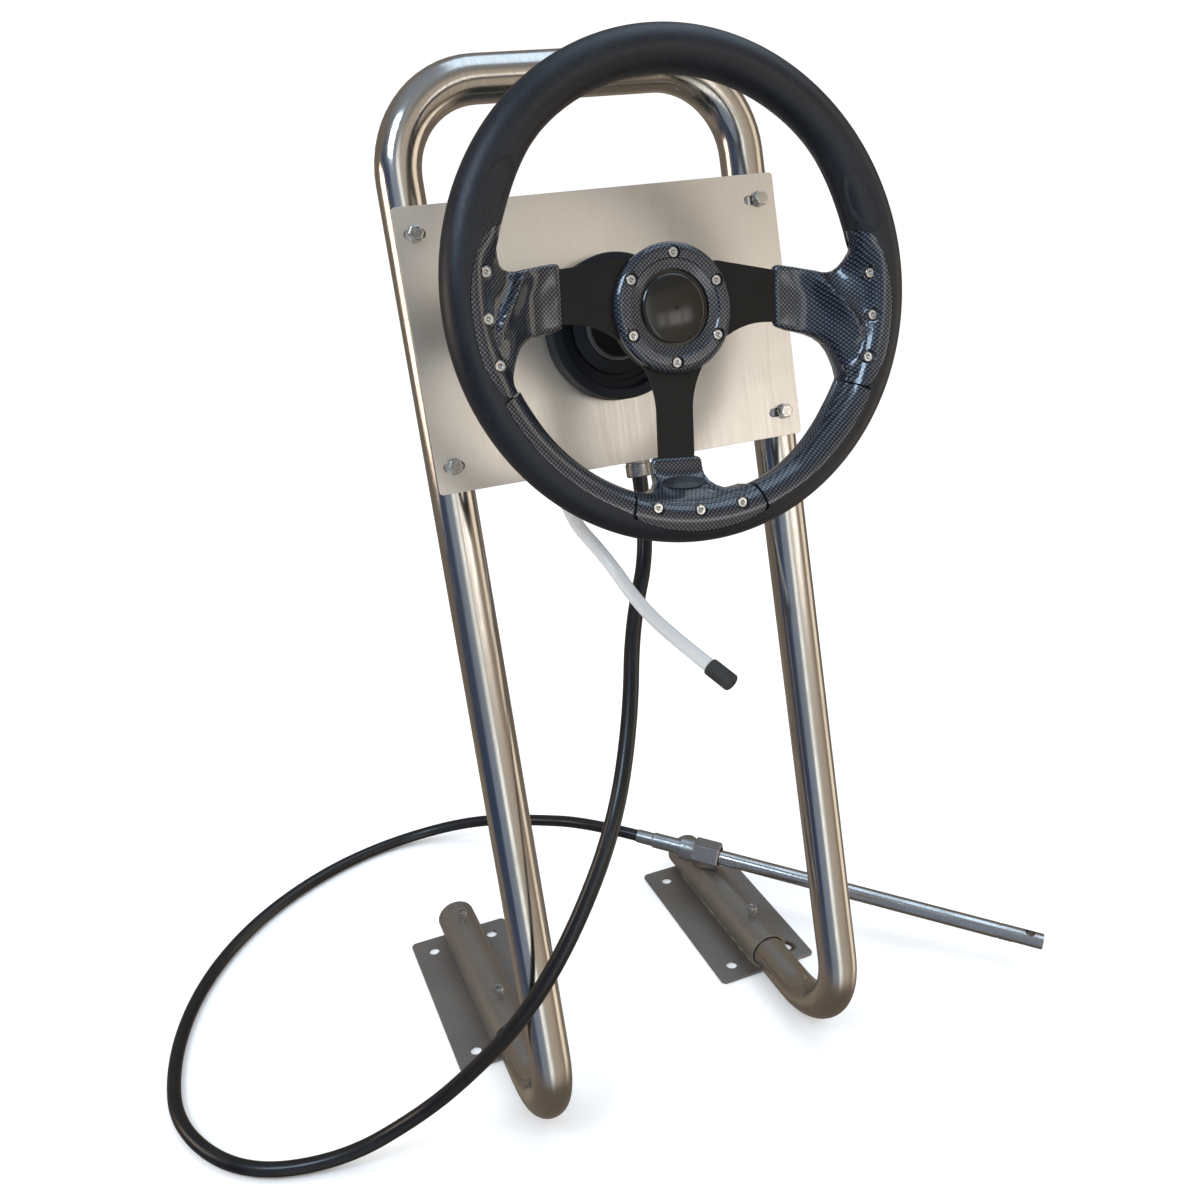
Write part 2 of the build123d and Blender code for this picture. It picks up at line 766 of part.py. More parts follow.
# Bush in the drum for the shaft's pilot
with BuildPart() as drum_bush:
    with BuildSketch(helm_plane(-bush_back_depth)):
        Circle(drum_bush_r)
        Circle(pilot_r + running_gap, mode=Mode.SUBTRACT)
    extrude(amount=bush_back_depth - carrier_front_depth)
drum_bush.part.label = "drum_bush"
export_step(drum_bush.part, "parts/drum_bush.step")

# Inner core of the cable: up from the coupler, half round the drum and down to the spent side
core_end = cable_boss_reach + coupler_length - coupler_edge
core_tail = spent_boss_reach + outlet_length / 2
core_centre = helm_centre - out * drum_depth
core_right = core_centre + across * drum_pitch_r
core_left = core_centre - across * drum_pitch_r
with BuildPart() as inner_core:
    with BuildLine() as core_line:
        Line(core_right - up * core_end, core_right)
        ThreePointArc(core_right, core_centre + up * drum_pitch_r, core_left)
        Line(core_left, core_left - up * core_tail)
    with BuildSketch(Plane(origin=core_line.line @ 0, z_dir=core_line.line % 0)):
        Circle(core_r)
    sweep()
inner_core.part.label = "inner_core"
export_step(inner_core.part, "parts/inner_core.step")

# Coupler that clamps the cable's jacket to the housing
coupler_start = core_right - up * cable_boss_reach
with BuildPart() as cable_coupler:
    with BuildSketch(Plane(origin=coupler_start, x_dir=across, z_dir=-up)):
        Circle(cable_boss_r)
        Circle(core_r + core_gap, mode=Mode.SUBTRACT)
    extrude(amount=coupler_length)
    chamfer(cable_coupler.faces().sort_by(Axis(coupler_start, -up))[-1].outer_wire().edges(), coupler_edge)
    with BuildSketch(Plane(origin=coupler_start - up * coupler_length / 2, x_dir=across, z_dir=-up)):
        Circle(cable_boss_r)
        Circle(cable_boss_r - coupler_groove / 2, mode=Mode.SUBTRACT)
    extrude(amount=coupler_groove, mode=Mode.SUBTRACT)
cable_coupler.part.label = "cable_coupler"
export_step(cable_coupler.part, "parts/cable_coupler.step")

# Outlet with a nipple for the spent-travel tube
outlet_start = core_left - up * spent_boss_reach
outlet_end = outlet_start - up * outlet_length
spent_bore_r = spent_r - spent_wall
with BuildPart() as spent_tube_outlet:
    with BuildSketch(Plane(origin=outlet_start, x_dir=across, z_dir=-up)):
        Circle(outlet_r)
    extrude(amount=outlet_length)
    with BuildSketch(Plane(origin=outlet_end, x_dir=across, z_dir=-up)):
        Circle(spent_bore_r - running_gap)
    extrude(amount=nipple_length)
    with BuildSketch(Plane(origin=outlet_start, x_dir=across, z_dir=-up)):
        Circle(core_r + core_gap)
    extrude(amount=outlet_length / 2 + core_gap, mode=Mode.SUBTRACT)
    with BuildSketch(Plane(origin=outlet_start, x_dir=across, z_dir=-up)):
        Circle(core_r - core_gap)
    extrude(amount=outlet_length + nipple_length, mode=Mode.SUBTRACT)
spent_tube_outlet.part.label = "spent_tube_outlet"
export_step(spent_tube_outlet.part, "parts/spent_tube_outlet.step")

# Input shaft: pilot, bearing length, taper for the wheel's hub and threaded end
key_bottom_r = taper_end_r - key_rise / 2
key_start = taper_start + (taper_end - taper_start - key_length) / 2
key_top_r = shaft_r + key_rise
key_origin = helm_centre + out * key_start + up * key_bottom_r
with BuildPart() as input_shaft:
    with BuildSketch(turning_plane):
        with BuildLine():
            Polyline(
                (0, -(bush_back_depth - moving_gap)),
                (pilot_r, -(bush_back_depth - moving_gap)),
                (pilot_r, -gear_front_depth),
                (shaft_r, -gear_front_depth),
                (shaft_r, taper_start),
                (taper_end_r, taper_end),
                (shaft_end_r, taper_end),
                (shaft_end_r, shaft_end_height - shaft_edge),
                (shaft_end_r - shaft_edge, shaft_end_height),
                (0, shaft_end_height),
                close=True,
            )
        make_face()
    revolve(axis=helm_axis)
    with BuildSketch(Plane(origin=key_origin, x_dir=across, z_dir=out)):
        Rectangle(key_width, key_top_r - key_bottom_r, align=(Align.CENTER, Align.MIN))
    extrude(amount=key_length, mode=Mode.SUBTRACT)
input_shaft.part.label = "input_shaft"
export_step(input_shaft.part, "parts/input_shaft.step")

with BuildPart() as shaft_key:
    with BuildSketch(Plane(origin=key_origin, x_dir=across, z_dir=out)):
        Rectangle(key_width, key_top_r - key_bottom_r, align=(Align.CENTER, Align.MIN))
    extrude(amount=key_length)
shaft_key.part.label = "shaft_key"
export_step(shaft_key.part, "parts/shaft_key.step")

# Hub adapter: a flared boss keyed on the taper, which carries the wheel
spring_seat_height = spoke_back_height - spring_seat_depth
adapter_cavity_height = taper_end + hub_washer_thickness + hub_nut_height
with BuildPart() as hub_adapter:
    with BuildSketch(turning_plane):
        with BuildLine():
            Polyline(
                (shaft_r + running_gap, adapter_base_height),
                (adapter_base_r, adapter_base_height),
                (adapter_base_r, adapter_neck_height),
                (adapter_flange_r, spoke_back_height - adapter_rim),
                (adapter_flange_r, spoke_back_height),
                (spoke_hole_r, spoke_back_height),
                (spoke_hole_r, spring_seat_height),
                (adapter_mouth_r, spring_seat_height),
                (adapter_cavity_r, adapter_cavity_height),
                (adapter_cavity_r, taper_end),
                (taper_end_r, taper_end),
                (shaft_r, taper_start),
                (shaft_r + running_gap, taper_start),
                close=True,
            )
        make_face()
    revolve(axis=helm_axis)
    with BuildSketch(Plane(origin=key_origin, x_dir=across, z_dir=out)):
        Rectangle(key_width, key_top_r - key_bottom_r, align=(Align.CENTER, Align.MIN))
    extrude(amount=key_length, mode=Mode.SUBTRACT)
    with BuildSketch(wheel_plane(spoke_back_height)):
        with PolarLocations(ring_screw_spread, ring_screw_count, start_angle=90):
            Circle(ring_screw_r + thread_gap)
    extrude(amount=-ring_screw_grip, mode=Mode.SUBTRACT)
hub_adapter.part.label = "hub_adapter"
export_step(hub_adapter.part, "parts/hub_adapter.step")

with BuildPart() as hub_washer:
    with BuildSketch(helm_plane(taper_end)):
        Circle(hub_washer_r)
        Circle(shaft_end_r + thread_gap, mode=Mode.SUBTRACT)
    extrude(amount=hub_washer_thickness)
hub_washer.part.label = "hub_washer"
export_step(hub_washer.part, "parts/hub_washer.step")

with BuildPart() as hub_nut:
    with BuildSketch(helm_plane(taper_end + hub_washer_thickness)):
        RegularPolygon(hub_nut_across / 2, 6, major_radius=False)
        Circle(shaft_end_r + thread_gap, mode=Mode.SUBTRACT)
    extrude(amount=hub_nut_height)
hub_nut.part.label = "hub_nut"
export_step(hub_nut.part, "parts/hub_nut.step")

# Wheel frame: the flat three-spoke plate, three raised arms and the rim's core ring
spoke_front_height = spoke_back_height + spoke_thickness
side_arm_x = math.sqrt(rim_line_r**2 - rim_offset**2) - arm_embed
bottom_arm_y = rim_line_r - rim_offset - arm_embed
arm_height = rim_height + spoke_thickness / 2
side_arm_start = helm_centre + wheel_up * spoke_top
post_start = helm_centre - wheel_across * post_half_width
with BuildPart() as wheel_frame:
    with BuildSketch(wheel_plane(spoke_back_height)) as spoke_outline:
        Polygon(
            (-spoke_reach, spoke_top),
            (-spoke_shoulder_x, spoke_shoulder_top),
            (spoke_shoulder_x, spoke_shoulder_top),
            (spoke_reach, spoke_top),
            (spoke_reach, -spoke_bottom),
            (-spoke_reach, -spoke_bottom),
            align=None,
        )
        Rectangle(2 * post_half_width, post_reach, align=(Align.CENTER, Align.MAX))
        web_corners = [
            corner
            for corner in spoke_outline.vertices()
            if abs(abs(corner.X) - post_half_width) < spoke_edge
            and abs(corner.Y + spoke_bottom) < spoke_edge
        ]
        fillet(web_corners, web_r)
        Circle(spoke_hub_r)
        Circle(spoke_hole_r, mode=Mode.SUBTRACT)
        with PolarLocations(ring_screw_spread, ring_screw_count, start_angle=90):
            Circle(ring_screw_r + thread_gap, mode=Mode.SUBTRACT)
    extrude(amount=spoke_thickness)
    for side in (-1, 1):
        with BuildSketch(Plane(origin=side_arm_start, x_dir=wheel_across, z_dir=-wheel_up)):
            Polygon(
                (side * (spoke_reach - spoke_thickness), spoke_back_height),
                (side * spoke_reach, spoke_back_height),
                (side * side_arm_x, arm_height - spoke_thickness),
                (side * side_arm_x, arm_height),
                (side * (spoke_reach - spoke_thickness), spoke_front_height),
                align=None,
            )
        extrude(amount=spoke_top + spoke_bottom)
    with BuildSketch(Plane(origin=post_start, x_dir=wheel_up, z_dir=wheel_across)):
        Polygon(
            (-(post_reach - spoke_thickness), spoke_back_height),
            (-post_reach, spoke_back_height),
            (-bottom_arm_y, arm_height - spoke_thickness),
            (-bottom_arm_y, arm_height),
            (-(post_reach - spoke_thickness), spoke_front_height),
            align=None,
        )
    extrude(amount=2 * post_half_width)
    with BuildSketch(rim_turning_plane):
        with Locations((rim_line_r, rim_height)):
            Circle(rim_core_r)
    revolve(axis=rim_axis)
wheel_frame.part.label = "wheel_frame"
export_step(wheel_frame.part, "parts/wheel_frame.step")

# Rim sections: the trims take the inner front part of the lower rim, and the grip the rest
trim_back_height = rim_height - trim_back_depth


def draw_rim_section():
    with Locations((rim_line_r, rim_height)):
        Circle(rim_section_r)


def cut_rim_core():
    with Locations((rim_line_r, rim_height)):
        Circle(rim_core_r, mode=Mode.SUBTRACT)


def draw_trim_side(edge_offset, mode):
    with Locations((rim_line_r + edge_offset, trim_back_height)):
        Rectangle(
            2 * rim_section_r, 2 * rim_section_r, align=(Align.MAX, Align.MIN), mode=mode
        )


# A radial plane of the rim, turned from the wheel's right-hand side by an angle
def rim_plane(angle):
    return Plane(
        origin=rim_centre,
        x_dir=wheel_across.rotate(rim_axis, angle),
        z_dir=-wheel_up.rotate(rim_axis, angle),
    )


# Soft grip: a ring with the trims' room cut out of it, made whole again round the top
bottom_start = -90 - bottom_half_angle
with BuildPart() as rim_grip:
    with BuildSketch(rim_turning_plane):
        draw_rim_section()
        draw_trim_side(trim_edge_offset, Mode.SUBTRACT)
        cut_rim_core()
    revolve(axis=rim_axis)
    with BuildSketch(rim_plane(side_top_angle)):
        draw_rim_section()
        draw_trim_side(trim_edge_offset, Mode.INTERSECT)
        cut_rim_core()
    revolve(axis=rim_axis, revolution_arc=180 - 2 * side_top_angle)
    with BuildSketch(rim_plane(bottom_start)):
        draw_rim_section()
        draw_trim_side(bottom_edge_offset, Mode.INTERSECT)
    revolve(axis=rim_axis, revolution_arc=2 * bottom_half_angle, mode=Mode.SUBTRACT)
    add(wheel_frame.part, mode=Mode.SUBTRACT)
rim_grip.part.label = "rim_grip"
export_step(rim_grip.part, "parts/rim_grip.step")

# Lower arcs of moulded trim between the inserts
arc_span = 90 - side_bottom_angle - bottom_half_angle
for label, start in (
    ("right_arc_trim", -90 + bottom_half_angle),
    ("left_arc_trim", -180 + side_bottom_angle),
):
    with BuildPart() as arc_trim:
        with BuildSketch(rim_plane(start)):
            draw_rim_section()
            draw_trim_side(trim_edge_offset, Mode.INTERSECT)
            cut_rim_core()
        revolve(axis=rim_axis, revolution_arc=arc_span)
    arc_trim.part.label = label
    export_step(arc_trim.part, f"parts/{label}.step")


# Floor of a screw's pocket, below the rim's own surface at that place
def pocket_floor(place):
    from_line = rim_line_r - math.hypot(place[0], place[1] - rim_offset)
    return rim_height + math.sqrt(rim_section_r**2 - from_line**2) - pocket_depth


# Cut the pockets and the shank holes of some screws, given in the wheel's plane
def cut_pockets(places):
    for place in places:
        with BuildSketch(wheel_plane(pocket_floor(place))) as pocket:
            with Locations(place):
                Circle(pocket_r)
        extrude(pocket.sketch, amount=rim_section_r, mode=Mode.SUBTRACT)
        with BuildSketch(wheel_plane(pocket_floor(place))) as shank_hole:
            with Locations(place):
                Circle(insert_screw_r + thread_gap)
        hole_depth = insert_screw_grip + thread_gap
        extrude(shank_hole.sketch, amount=-hole_depth, mode=Mode.SUBTRACT)


# Side inserts: a stretch of the rim with a cover that sweeps down over the spoke
cover_limit_r = rim_line_r - rim_section_r + cover_overlap
arm_rise = (arm_height - spoke_front_height) / (side_arm_x - spoke_reach)
rim_climb = rim_height - spoke_back_height
side_cover_heights = [spoke_back_height + rise for rise in side_cover_rise]
side_cover_heights += [spoke_back_height + share * rim_climb for share in side_cover_climb]
insert_depth = rim_height + rim_section_r
all_screw_places = list(bottom_screw_places)
for side, label, start in (
    (1, "right_insert", -side_bottom_angle),
    (-1, "left_insert", 180 - side_top_angle),
):
    insert_screw_places = [(side * x, y) for x, y in side_screw_places]
    all_screw_places += insert_screw_places
    inner, middle, shoulder, outer = [side * x for x in side_cover_x]
    outer_base = spoke_back_height + arm_rise * (side_cover_x[3] - spoke_reach)
    with BuildPart() as side_insert:
        with BuildSketch(Plane(origin=side_arm_start, x_dir=wheel_across, z_dir=-wheel_up)):
            with BuildLine():
                Polyline(
                    (inner, side_cover_heights[0]),
                    (inner, spoke_back_height),
                    (side * spoke_reach, spoke_back_height),
                    (outer, outer_base),
                    (outer, side_cover_heights[3]),
                    (shoulder, side_cover_heights[2]),
                )
                ThreePointArc(
                    (shoulder, side_cover_heights[2]),
                    (middle, side_cover_heights[1]),
                    (inner, side_cover_heights[0]),
                )
            make_face()
        extrude(amount=wheel_r, both=True)
        with BuildSketch(wheel_plane(0)):
            Polygon(
                (inner, side_cover_top[0]),
                (middle, side_cover_top[1]),
                (shoulder, side_cover_top[2]),
                (shoulder, side_cover_top[3]),
                (outer, side_cover_top[3]),
                (outer, -side_cover_low[3]),
                (shoulder, -side_cover_low[3]),
                (shoulder, -side_cover_low[2]),
                (middle, -side_cover_low[1]),
                (inner, -side_cover_low[0]),
                align=None,
            )
            with Locations((0, rim_offset)):
                Circle(cover_limit_r, mode=Mode.INTERSECT)
        extrude(amount=insert_depth, mode=Mode.INTERSECT)
        with BuildSketch(rim_plane(start)):
            draw_rim_section()
            draw_trim_side(trim_edge_offset, Mode.INTERSECT)
        revolve(axis=rim_axis, revolution_arc=side_top_angle + side_bottom_angle)
        add(wheel_frame.part, mode=Mode.SUBTRACT)
        cut_pockets(insert_screw_places)
    side_insert.part.label = label
    export_step(side_insert.part, f"parts/{label}.step")

# Oval plate, let into the hollow of the bottom insert
oval_normal = out * math.cos(math.radians(oval_tilt)) + wheel_up * math.sin(math.radians(oval_tilt))
post_rise = (arm_height - spoke_front_height) / (bottom_arm_y - post_reach)
oval_height = spoke_front_height + post_rise * (oval_y - post_reach) + oval_above_post
oval_seat = helm_centre - wheel_up * oval_y + out * oval_height
oval_top = Plane(origin=oval_seat + oval_normal * oval_lift, x_dir=wheel_across, z_dir=oval_normal)
with BuildPart() as oval_plate:
    with BuildSketch(oval_top):
        Ellipse(oval_length / 2, oval_width / 2)
    extrude(amount=-oval_thickness)
oval_plate.part.label = "oval_plate"
export_step(oval_plate.part, "parts/oval_plate.step")

# Bottom insert, with a cover over the lower spoke
cover_inner, cover_middle, cover_shoulder, cover_outer = bottom_cover_y
bottom_heights = [spoke_back_height + rise for rise in bottom_cover_rise]
bottom_heights += [spoke_back_height + share * rim_climb for share in bottom_cover_climb]
bottom_base = spoke_back_height + post_rise * (cover_outer - post_reach)
with BuildPart() as bottom_insert:
    with BuildSketch(Plane(origin=helm_centre, x_dir=wheel_up, z_dir=wheel_across)):
        with BuildLine():
            Polyline(
                (-cover_inner, bottom_heights[0]),
                (-cover_inner, spoke_back_height),
                (-post_reach, spoke_back_height),
                (-cover_outer, bottom_base),
                (-cover_outer, bottom_heights[3]),
                (-cover_shoulder, bottom_heights[2]),
            )
            ThreePointArc(
                (-cover_shoulder, bottom_heights[2]),
                (-cover_middle, bottom_heights[1]),
                (-cover_inner, bottom_heights[0]),
            )
        make_face()
    extrude(amount=bottom_cover_flare, both=True)
    with BuildSketch(wheel_plane(0)):
        Polygon(
            (-bottom_cover_half_width, -cover_inner),
            (bottom_cover_half_width, -cover_inner),
            (bottom_cover_half_width, -cover_middle),
            (bottom_cover_flare, -bottom_cover_flare_y),
            (bottom_cover_flare, -cover_outer),
            (-bottom_cover_flare, -cover_outer),
            (-bottom_cover_flare, -bottom_cover_flare_y),
            (-bottom_cover_half_width, -cover_middle),
            align=None,
        )
        with Locations((0, rim_offset)):
            Circle(cover_limit_r, mode=Mode.INTERSECT)
    extrude(amount=insert_depth, mode=Mode.INTERSECT)
    with BuildSketch(rim_plane(bottom_start)):
        draw_rim_section()
        draw_trim_side(bottom_edge_offset, Mode.INTERSECT)
    revolve(axis=rim_axis, revolution_arc=2 * bottom_half_angle)
    add(wheel_frame.part, mode=Mode.SUBTRACT)
    add(oval_plate.part, mode=Mode.SUBTRACT)
    cut_pockets(bottom_screw_places)
bottom_insert.part.label = "bottom_insert"
export_step(bottom_insert.part, "parts/bottom_insert.step")


# Button-head screws on a common circle or at given places, each standing on its own floor
def draw_button_screws(places, floors, shank_r, shank_length):
    for place, floor in zip(places, floors):
        with BuildSketch(wheel_plane(floor)) as head:
            with Locations(place):
                Circle(button_head_r)
        extrude(head.sketch, amount=button_head_height)
        with BuildSketch(wheel_plane(floor)) as shank:
            with Locations(place):
                Circle(shank_r)
        extrude(shank.sketch, amount=-shank_length)
        with BuildSketch(wheel_plane(floor + button_head_height)) as socket:
            with Locations(place):
                RegularPolygon(button_socket_r, 6)
        extrude(socket.sketch, amount=-button_socket_depth, mode=Mode.SUBTRACT)


with BuildPart() as insert_screws:
    screw_floors = [pocket_floor(place) for place in all_screw_places]
    draw_button_screws(all_screw_places, screw_floors, insert_screw_r, insert_screw_grip)
insert_screws.part.label = "insert_screws"
export_step(insert_screws.part, "parts/insert_screws.step")

# Hub ring over the plate, with six screw pockets and a lip that keeps the push button in
ring_top = spoke_front_height + hub_ring_height
flange_room_r = button_flange_r + button_clearance
button_base_height = spoke_front_height + button_clearance
flange_top_height = button_base_height + button_flange_thickness
lip_back_height = flange_top_height + moving_gap
ring_pocket_floor = ring_top - ring_pocket_depth
ring_angles = [math.radians(90 + n * 360 / ring_screw_count) for n in range(ring_screw_count)]
ring_screw_places = [
    (ring_screw_spread * math.cos(angle), ring_screw_spread * math.sin(angle))
    for angle in ring_angles
]
with BuildPart() as hub_ring:
    with BuildSketch(turning_plane):
        with BuildLine():
            Polyline(
                (hub_ring_crown_r, ring_top),
                (hub_ring_step_r + hub_ring_edge, ring_top),
                (hub_ring_step_r, spoke_front_height + hub_ring_step_height),
                (hub_ring_lip_r, spoke_front_height + hub_ring_lip_height),
                (hub_ring_lip_r, lip_back_height),
                (flange_room_r, lip_back_height),
                (flange_room_r, spoke_front_height),
                (hub_ring_r, spoke_front_height),
                (hub_ring_r, spoke_front_height + hub_ring_shoulder),
            )
            RadiusArc(
                (hub_ring_r, spoke_front_height + hub_ring_shoulder),
                (hub_ring_crown_r, ring_top),
                -hub_ring_height,
            )
        make_face()
    revolve(axis=helm_axis)
    with BuildSketch(wheel_plane(ring_pocket_floor)):
        with PolarLocations(ring_screw_spread, ring_screw_count, start_angle=90):
            Circle(ring_pocket_r)
    extrude(amount=hub_ring_height, mode=Mode.SUBTRACT)
    with BuildSketch(wheel_plane(spoke_front_height)):
        with PolarLocations(ring_screw_spread, ring_screw_count, start_angle=90):
            Circle(ring_screw_r + shank_gap)
    extrude(amount=hub_ring_height, mode=Mode.SUBTRACT)
hub_ring.part.label = "hub_ring"
export_step(hub_ring.part, "parts/hub_ring.step")

ring_screw_length = ring_pocket_floor - spoke_back_height + ring_screw_grip - thread_gap
with BuildPart() as ring_screws:
    ring_screw_floors = [ring_pocket_floor] * ring_screw_count
    draw_button_screws(ring_screw_places, ring_screw_floors, ring_screw_r, ring_screw_length)
ring_screws.part.label = "ring_screws"
export_step(ring_screws.part, "parts/ring_screws.step")

# Rubber stop ring that the button comes down on
stop_height = button_base_height - button_travel - moving_gap - spring_seat_height
with BuildPart() as stop_ring:
    with BuildSketch(wheel_plane(spring_seat_height)):
        Circle(stop_ring_r)
        Circle(stop_ring_bore_r, mode=Mode.SUBTRACT)
    extrude(amount=stop_height)
stop_ring.part.label = "stop_ring"
export_step(stop_ring.part, "parts/stop_ring.step")

# Domed centre push button
dome_base_height = flange_top_height + button_rise
dome_top_height = dome_base_height + button_crown
dome_r = button_r - button_edge
dome_sphere_r = (dome_r**2 + button_crown**2) / (2 * button_crown)
dome_middle = math.sqrt(dome_sphere_r**2 - (dome_r / 2) ** 2)
with BuildPart() as centre_button:
    with BuildSketch(turning_plane):
        with BuildLine():
            Polyline(
                (0, dome_top_height),
                (0, button_base_height),
                (button_flange_r, button_base_height),
                (button_flange_r, flange_top_height),
                (button_r, flange_top_height),
                (button_r, dome_base_height - button_edge),
                (dome_r, dome_base_height),
            )
            ThreePointArc(
                (dome_r, dome_base_height),
                (dome_r / 2, dome_top_height - dome_sphere_r + dome_middle),
                (0, dome_top_height),
            )
        make_face()
    revolve(axis=helm_axis)
centre_button.part.label = "centre_button"
export_step(centre_button.part, "parts/centre_button.step")

# Line of the ram: over the right-hand sleeve, sloping down a little towards its tip
heading = math.radians(ram_heading)
slope = math.radians(ram_slope)
nut_centre = Vector(nut_x, nut_y - origin_y, nut_z)
ram_side = Vector(math.sin(heading), math.cos(heading), 0)
ram_line = Vector(
    math.cos(slope) * math.cos(heading), -math.cos(slope) * math.sin(heading), -math.sin(slope)
)
ram_axis = Axis(nut_centre, ram_line)
ram_turning_plane = Plane(origin=nut_centre, x_dir=ram_side, z_dir=ram_side.cross(ram_line))
hub_end = nut_centre - ram_line * hub_behind_nut


def ram_plane(distance):
    return Plane(origin=nut_centre + ram_line * distance, x_dir=ram_side, z_dir=ram_line)


# Radii of a route's arcs: each takes the same share of the shorter run beside it
def route_radii(name, points):
    radii = []
    length = 0
    for before, corner, after in zip(points, points[1:], points[2:]):
        run_in = corner - before
        run_on = after - corner
        half_turn = math.radians(run_in.get_angle(run_on)) / 2
        tangent = arc_share * min(run_in.length, run_on.length)
        radii.append(tangent / math.tan(half_turn))
        length += radii[-1] * 2 * half_turn - 2 * tangent
    length += sum((b - a).length for a, b in zip(points, points[1:]))
    print(name, "radii", [round(radius) for radius in radii], "length", round(length))
    return radii


# Steering cable, from the coupler round the floor to the hub behind the ram
cable_start = coupler_start - up * coupler_length
run_end = cable_start - up * first_run
cable_route = (
    [cable_start, run_end]
    + [Vector(x, y - origin_y, share * run_end.Z) for x, y, share in hanging_places]
    + [Vector(x, y - origin_y, z) for x, y, z in floor_places]
    + [hub_end - ram_line * last_run, hub_end]
)
with BuildPart() as steering_cable:
    with BuildLine() as cable_line:
        FilletPolyline(*cable_route, radius=route_radii("cable", cable_route))
    with BuildSketch(Plane(origin=cable_line.line @ 0, z_dir=cable_line.line % 0)):
        Circle(cable_r)
    sweep()
steering_cable.part.label = "steering_cable"
export_step(steering_cable.part, "parts/steering_cable.step")
print("cable volume over section times length", steering_cable.part.volume / (math.pi * cable_r**2))

# Hub on the cable's end, whose collar the nut holds
collar_back = -(hub_front + collar_length)
hub_tail_end = hub_tail_length - hub_behind_nut
with BuildPart() as cable_hub:
    with BuildSketch(ram_turning_plane):
        with BuildLine():
            Polyline(
                (0, -hub_behind_nut),
                (hub_tail_r, -hub_behind_nut),
                (hub_tail_r, hub_tail_end),
                (hub_r, hub_tail_end + hub_step),
                (hub_r, collar_back),
                (collar_r, collar_back),
                (collar_r, -hub_front),
                (guide_r, -hub_front),
                (guide_r, -hub_front - guide_seat),
                (0, -hub_front - guide_seat),
                close=True,
            )
        make_face()
    revolve(axis=ram_axis)
cable_hub.part.label = "cable_hub"
export_step(cable_hub.part, "parts/cable_hub.step")

# Hexagon nut with a round collar behind it, bored for the hub and for the ram
nut_back_end = -(nut_length / 2 + nut_collar_length)
with BuildPart() as cable_nut:
    with BuildSketch(ram_plane(-nut_length / 2)):
        RegularPolygon(nut_across / 2, 6, major_radius=False)
    extrude(amount=nut_length)
    chamfer(cable_nut.faces().sort_by(ram_axis)[-1].edges(), nut_edge)
    with BuildSketch(ram_plane(-nut_length / 2)):
        Circle(nut_collar_r)
    extrude(amount=-nut_collar_length)
    with BuildSketch(ram_plane(collar_back)):
        Circle(nut_bore_r)
    extrude(amount=nut_length / 2 - collar_back, mode=Mode.SUBTRACT)
    with BuildSketch(ram_plane(nut_back_end)):
        Circle(hub_r + thread_gap)
    extrude(amount=nut_length, mode=Mode.SUBTRACT)
cable_nut.part.label = "cable_nut"
export_step(cable_nut.part, "parts/cable_nut.step")

# Guide tube, fixed in the hub, on which the ram slides out
with BuildPart() as guide_tube:
    with BuildSketch(ram_plane(-(hub_front + guide_seat))):
        Circle(guide_r)
        Circle(guide_r - guide_wall, mode=Mode.SUBTRACT)
    extrude(amount=hub_front + guide_seat + guide_reach)
guide_tube.part.label = "guide_tube"
export_step(guide_tube.part, "parts/guide_tube.step")

# Ram: a tube with a solid end, a ring groove, a flat under the tip and a cross hole
flat_plane = Plane(
    origin=nut_centre + ram_line * (ram_reach - ram_flat_length) - ram_plane(0).y_dir * ram_r,
    x_dir=ram_side,
    z_dir=ram_line,
)
eye_centre = nut_centre + ram_line * (ram_reach - ram_eye_from_tip)
ram_tail = moving_gap - hub_front
with BuildPart() as steering_ram:
    with BuildSketch(ram_plane(ram_tail)):
        Circle(ram_r)
    extrude(amount=ram_reach - ram_tail)
    chamfer(steering_ram.faces().sort_by(ram_axis)[-1].edges(), ram_edge)
    with BuildSketch(ram_plane(ram_tail)):
        Circle(guide_r + running_gap)
    extrude(amount=ram_reach - ram_tail - ram_plug, mode=Mode.SUBTRACT)
    with BuildSketch(ram_plane(ram_reach - ram_groove_from_tip)):
        Circle(ram_r)
        Circle(ram_r - ram_groove_depth, mode=Mode.SUBTRACT)
    extrude(amount=ram_groove_width, mode=Mode.SUBTRACT)
    with BuildSketch(flat_plane):
        Rectangle(2 * ram_r, 2 * ram_flat_depth)
    extrude(amount=ram_flat_length, mode=Mode.SUBTRACT)
    with BuildSketch(Plane(origin=eye_centre, x_dir=ram_side, z_dir=ram_plane(0).y_dir)):
        Circle(ram_eye_r)
    extrude(amount=ram_r, both=True, mode=Mode.SUBTRACT)
steering_ram.part.label = "steering_ram"
export_step(steering_ram.part, "parts/steering_ram.step")

# Spent-travel tube, pushed over the outlet's nipple and curling forward under the panel
spent_route = [outlet_end] + [helm_plane(0).from_local_coords(Vector(*p)) for p in spent_places]
with BuildPart() as spent_tube:
    with BuildLine() as spent_line:
        FilletPolyline(*spent_route, radius=route_radii("spent tube", spent_route))
    with BuildSketch(Plane(origin=spent_line.line @ 0, z_dir=spent_line.line % 0)):
        Circle(spent_r)
        Circle(spent_bore_r, mode=Mode.SUBTRACT)
    sweep()
spent_tube.part.label = "spent_tube"
export_step(spent_tube.part, "parts/spent_tube.step")
spent_section = math.pi * (spent_r**2 - spent_bore_r**2)
print("spent tube volume over section", spent_tube.part.volume / spent_section)

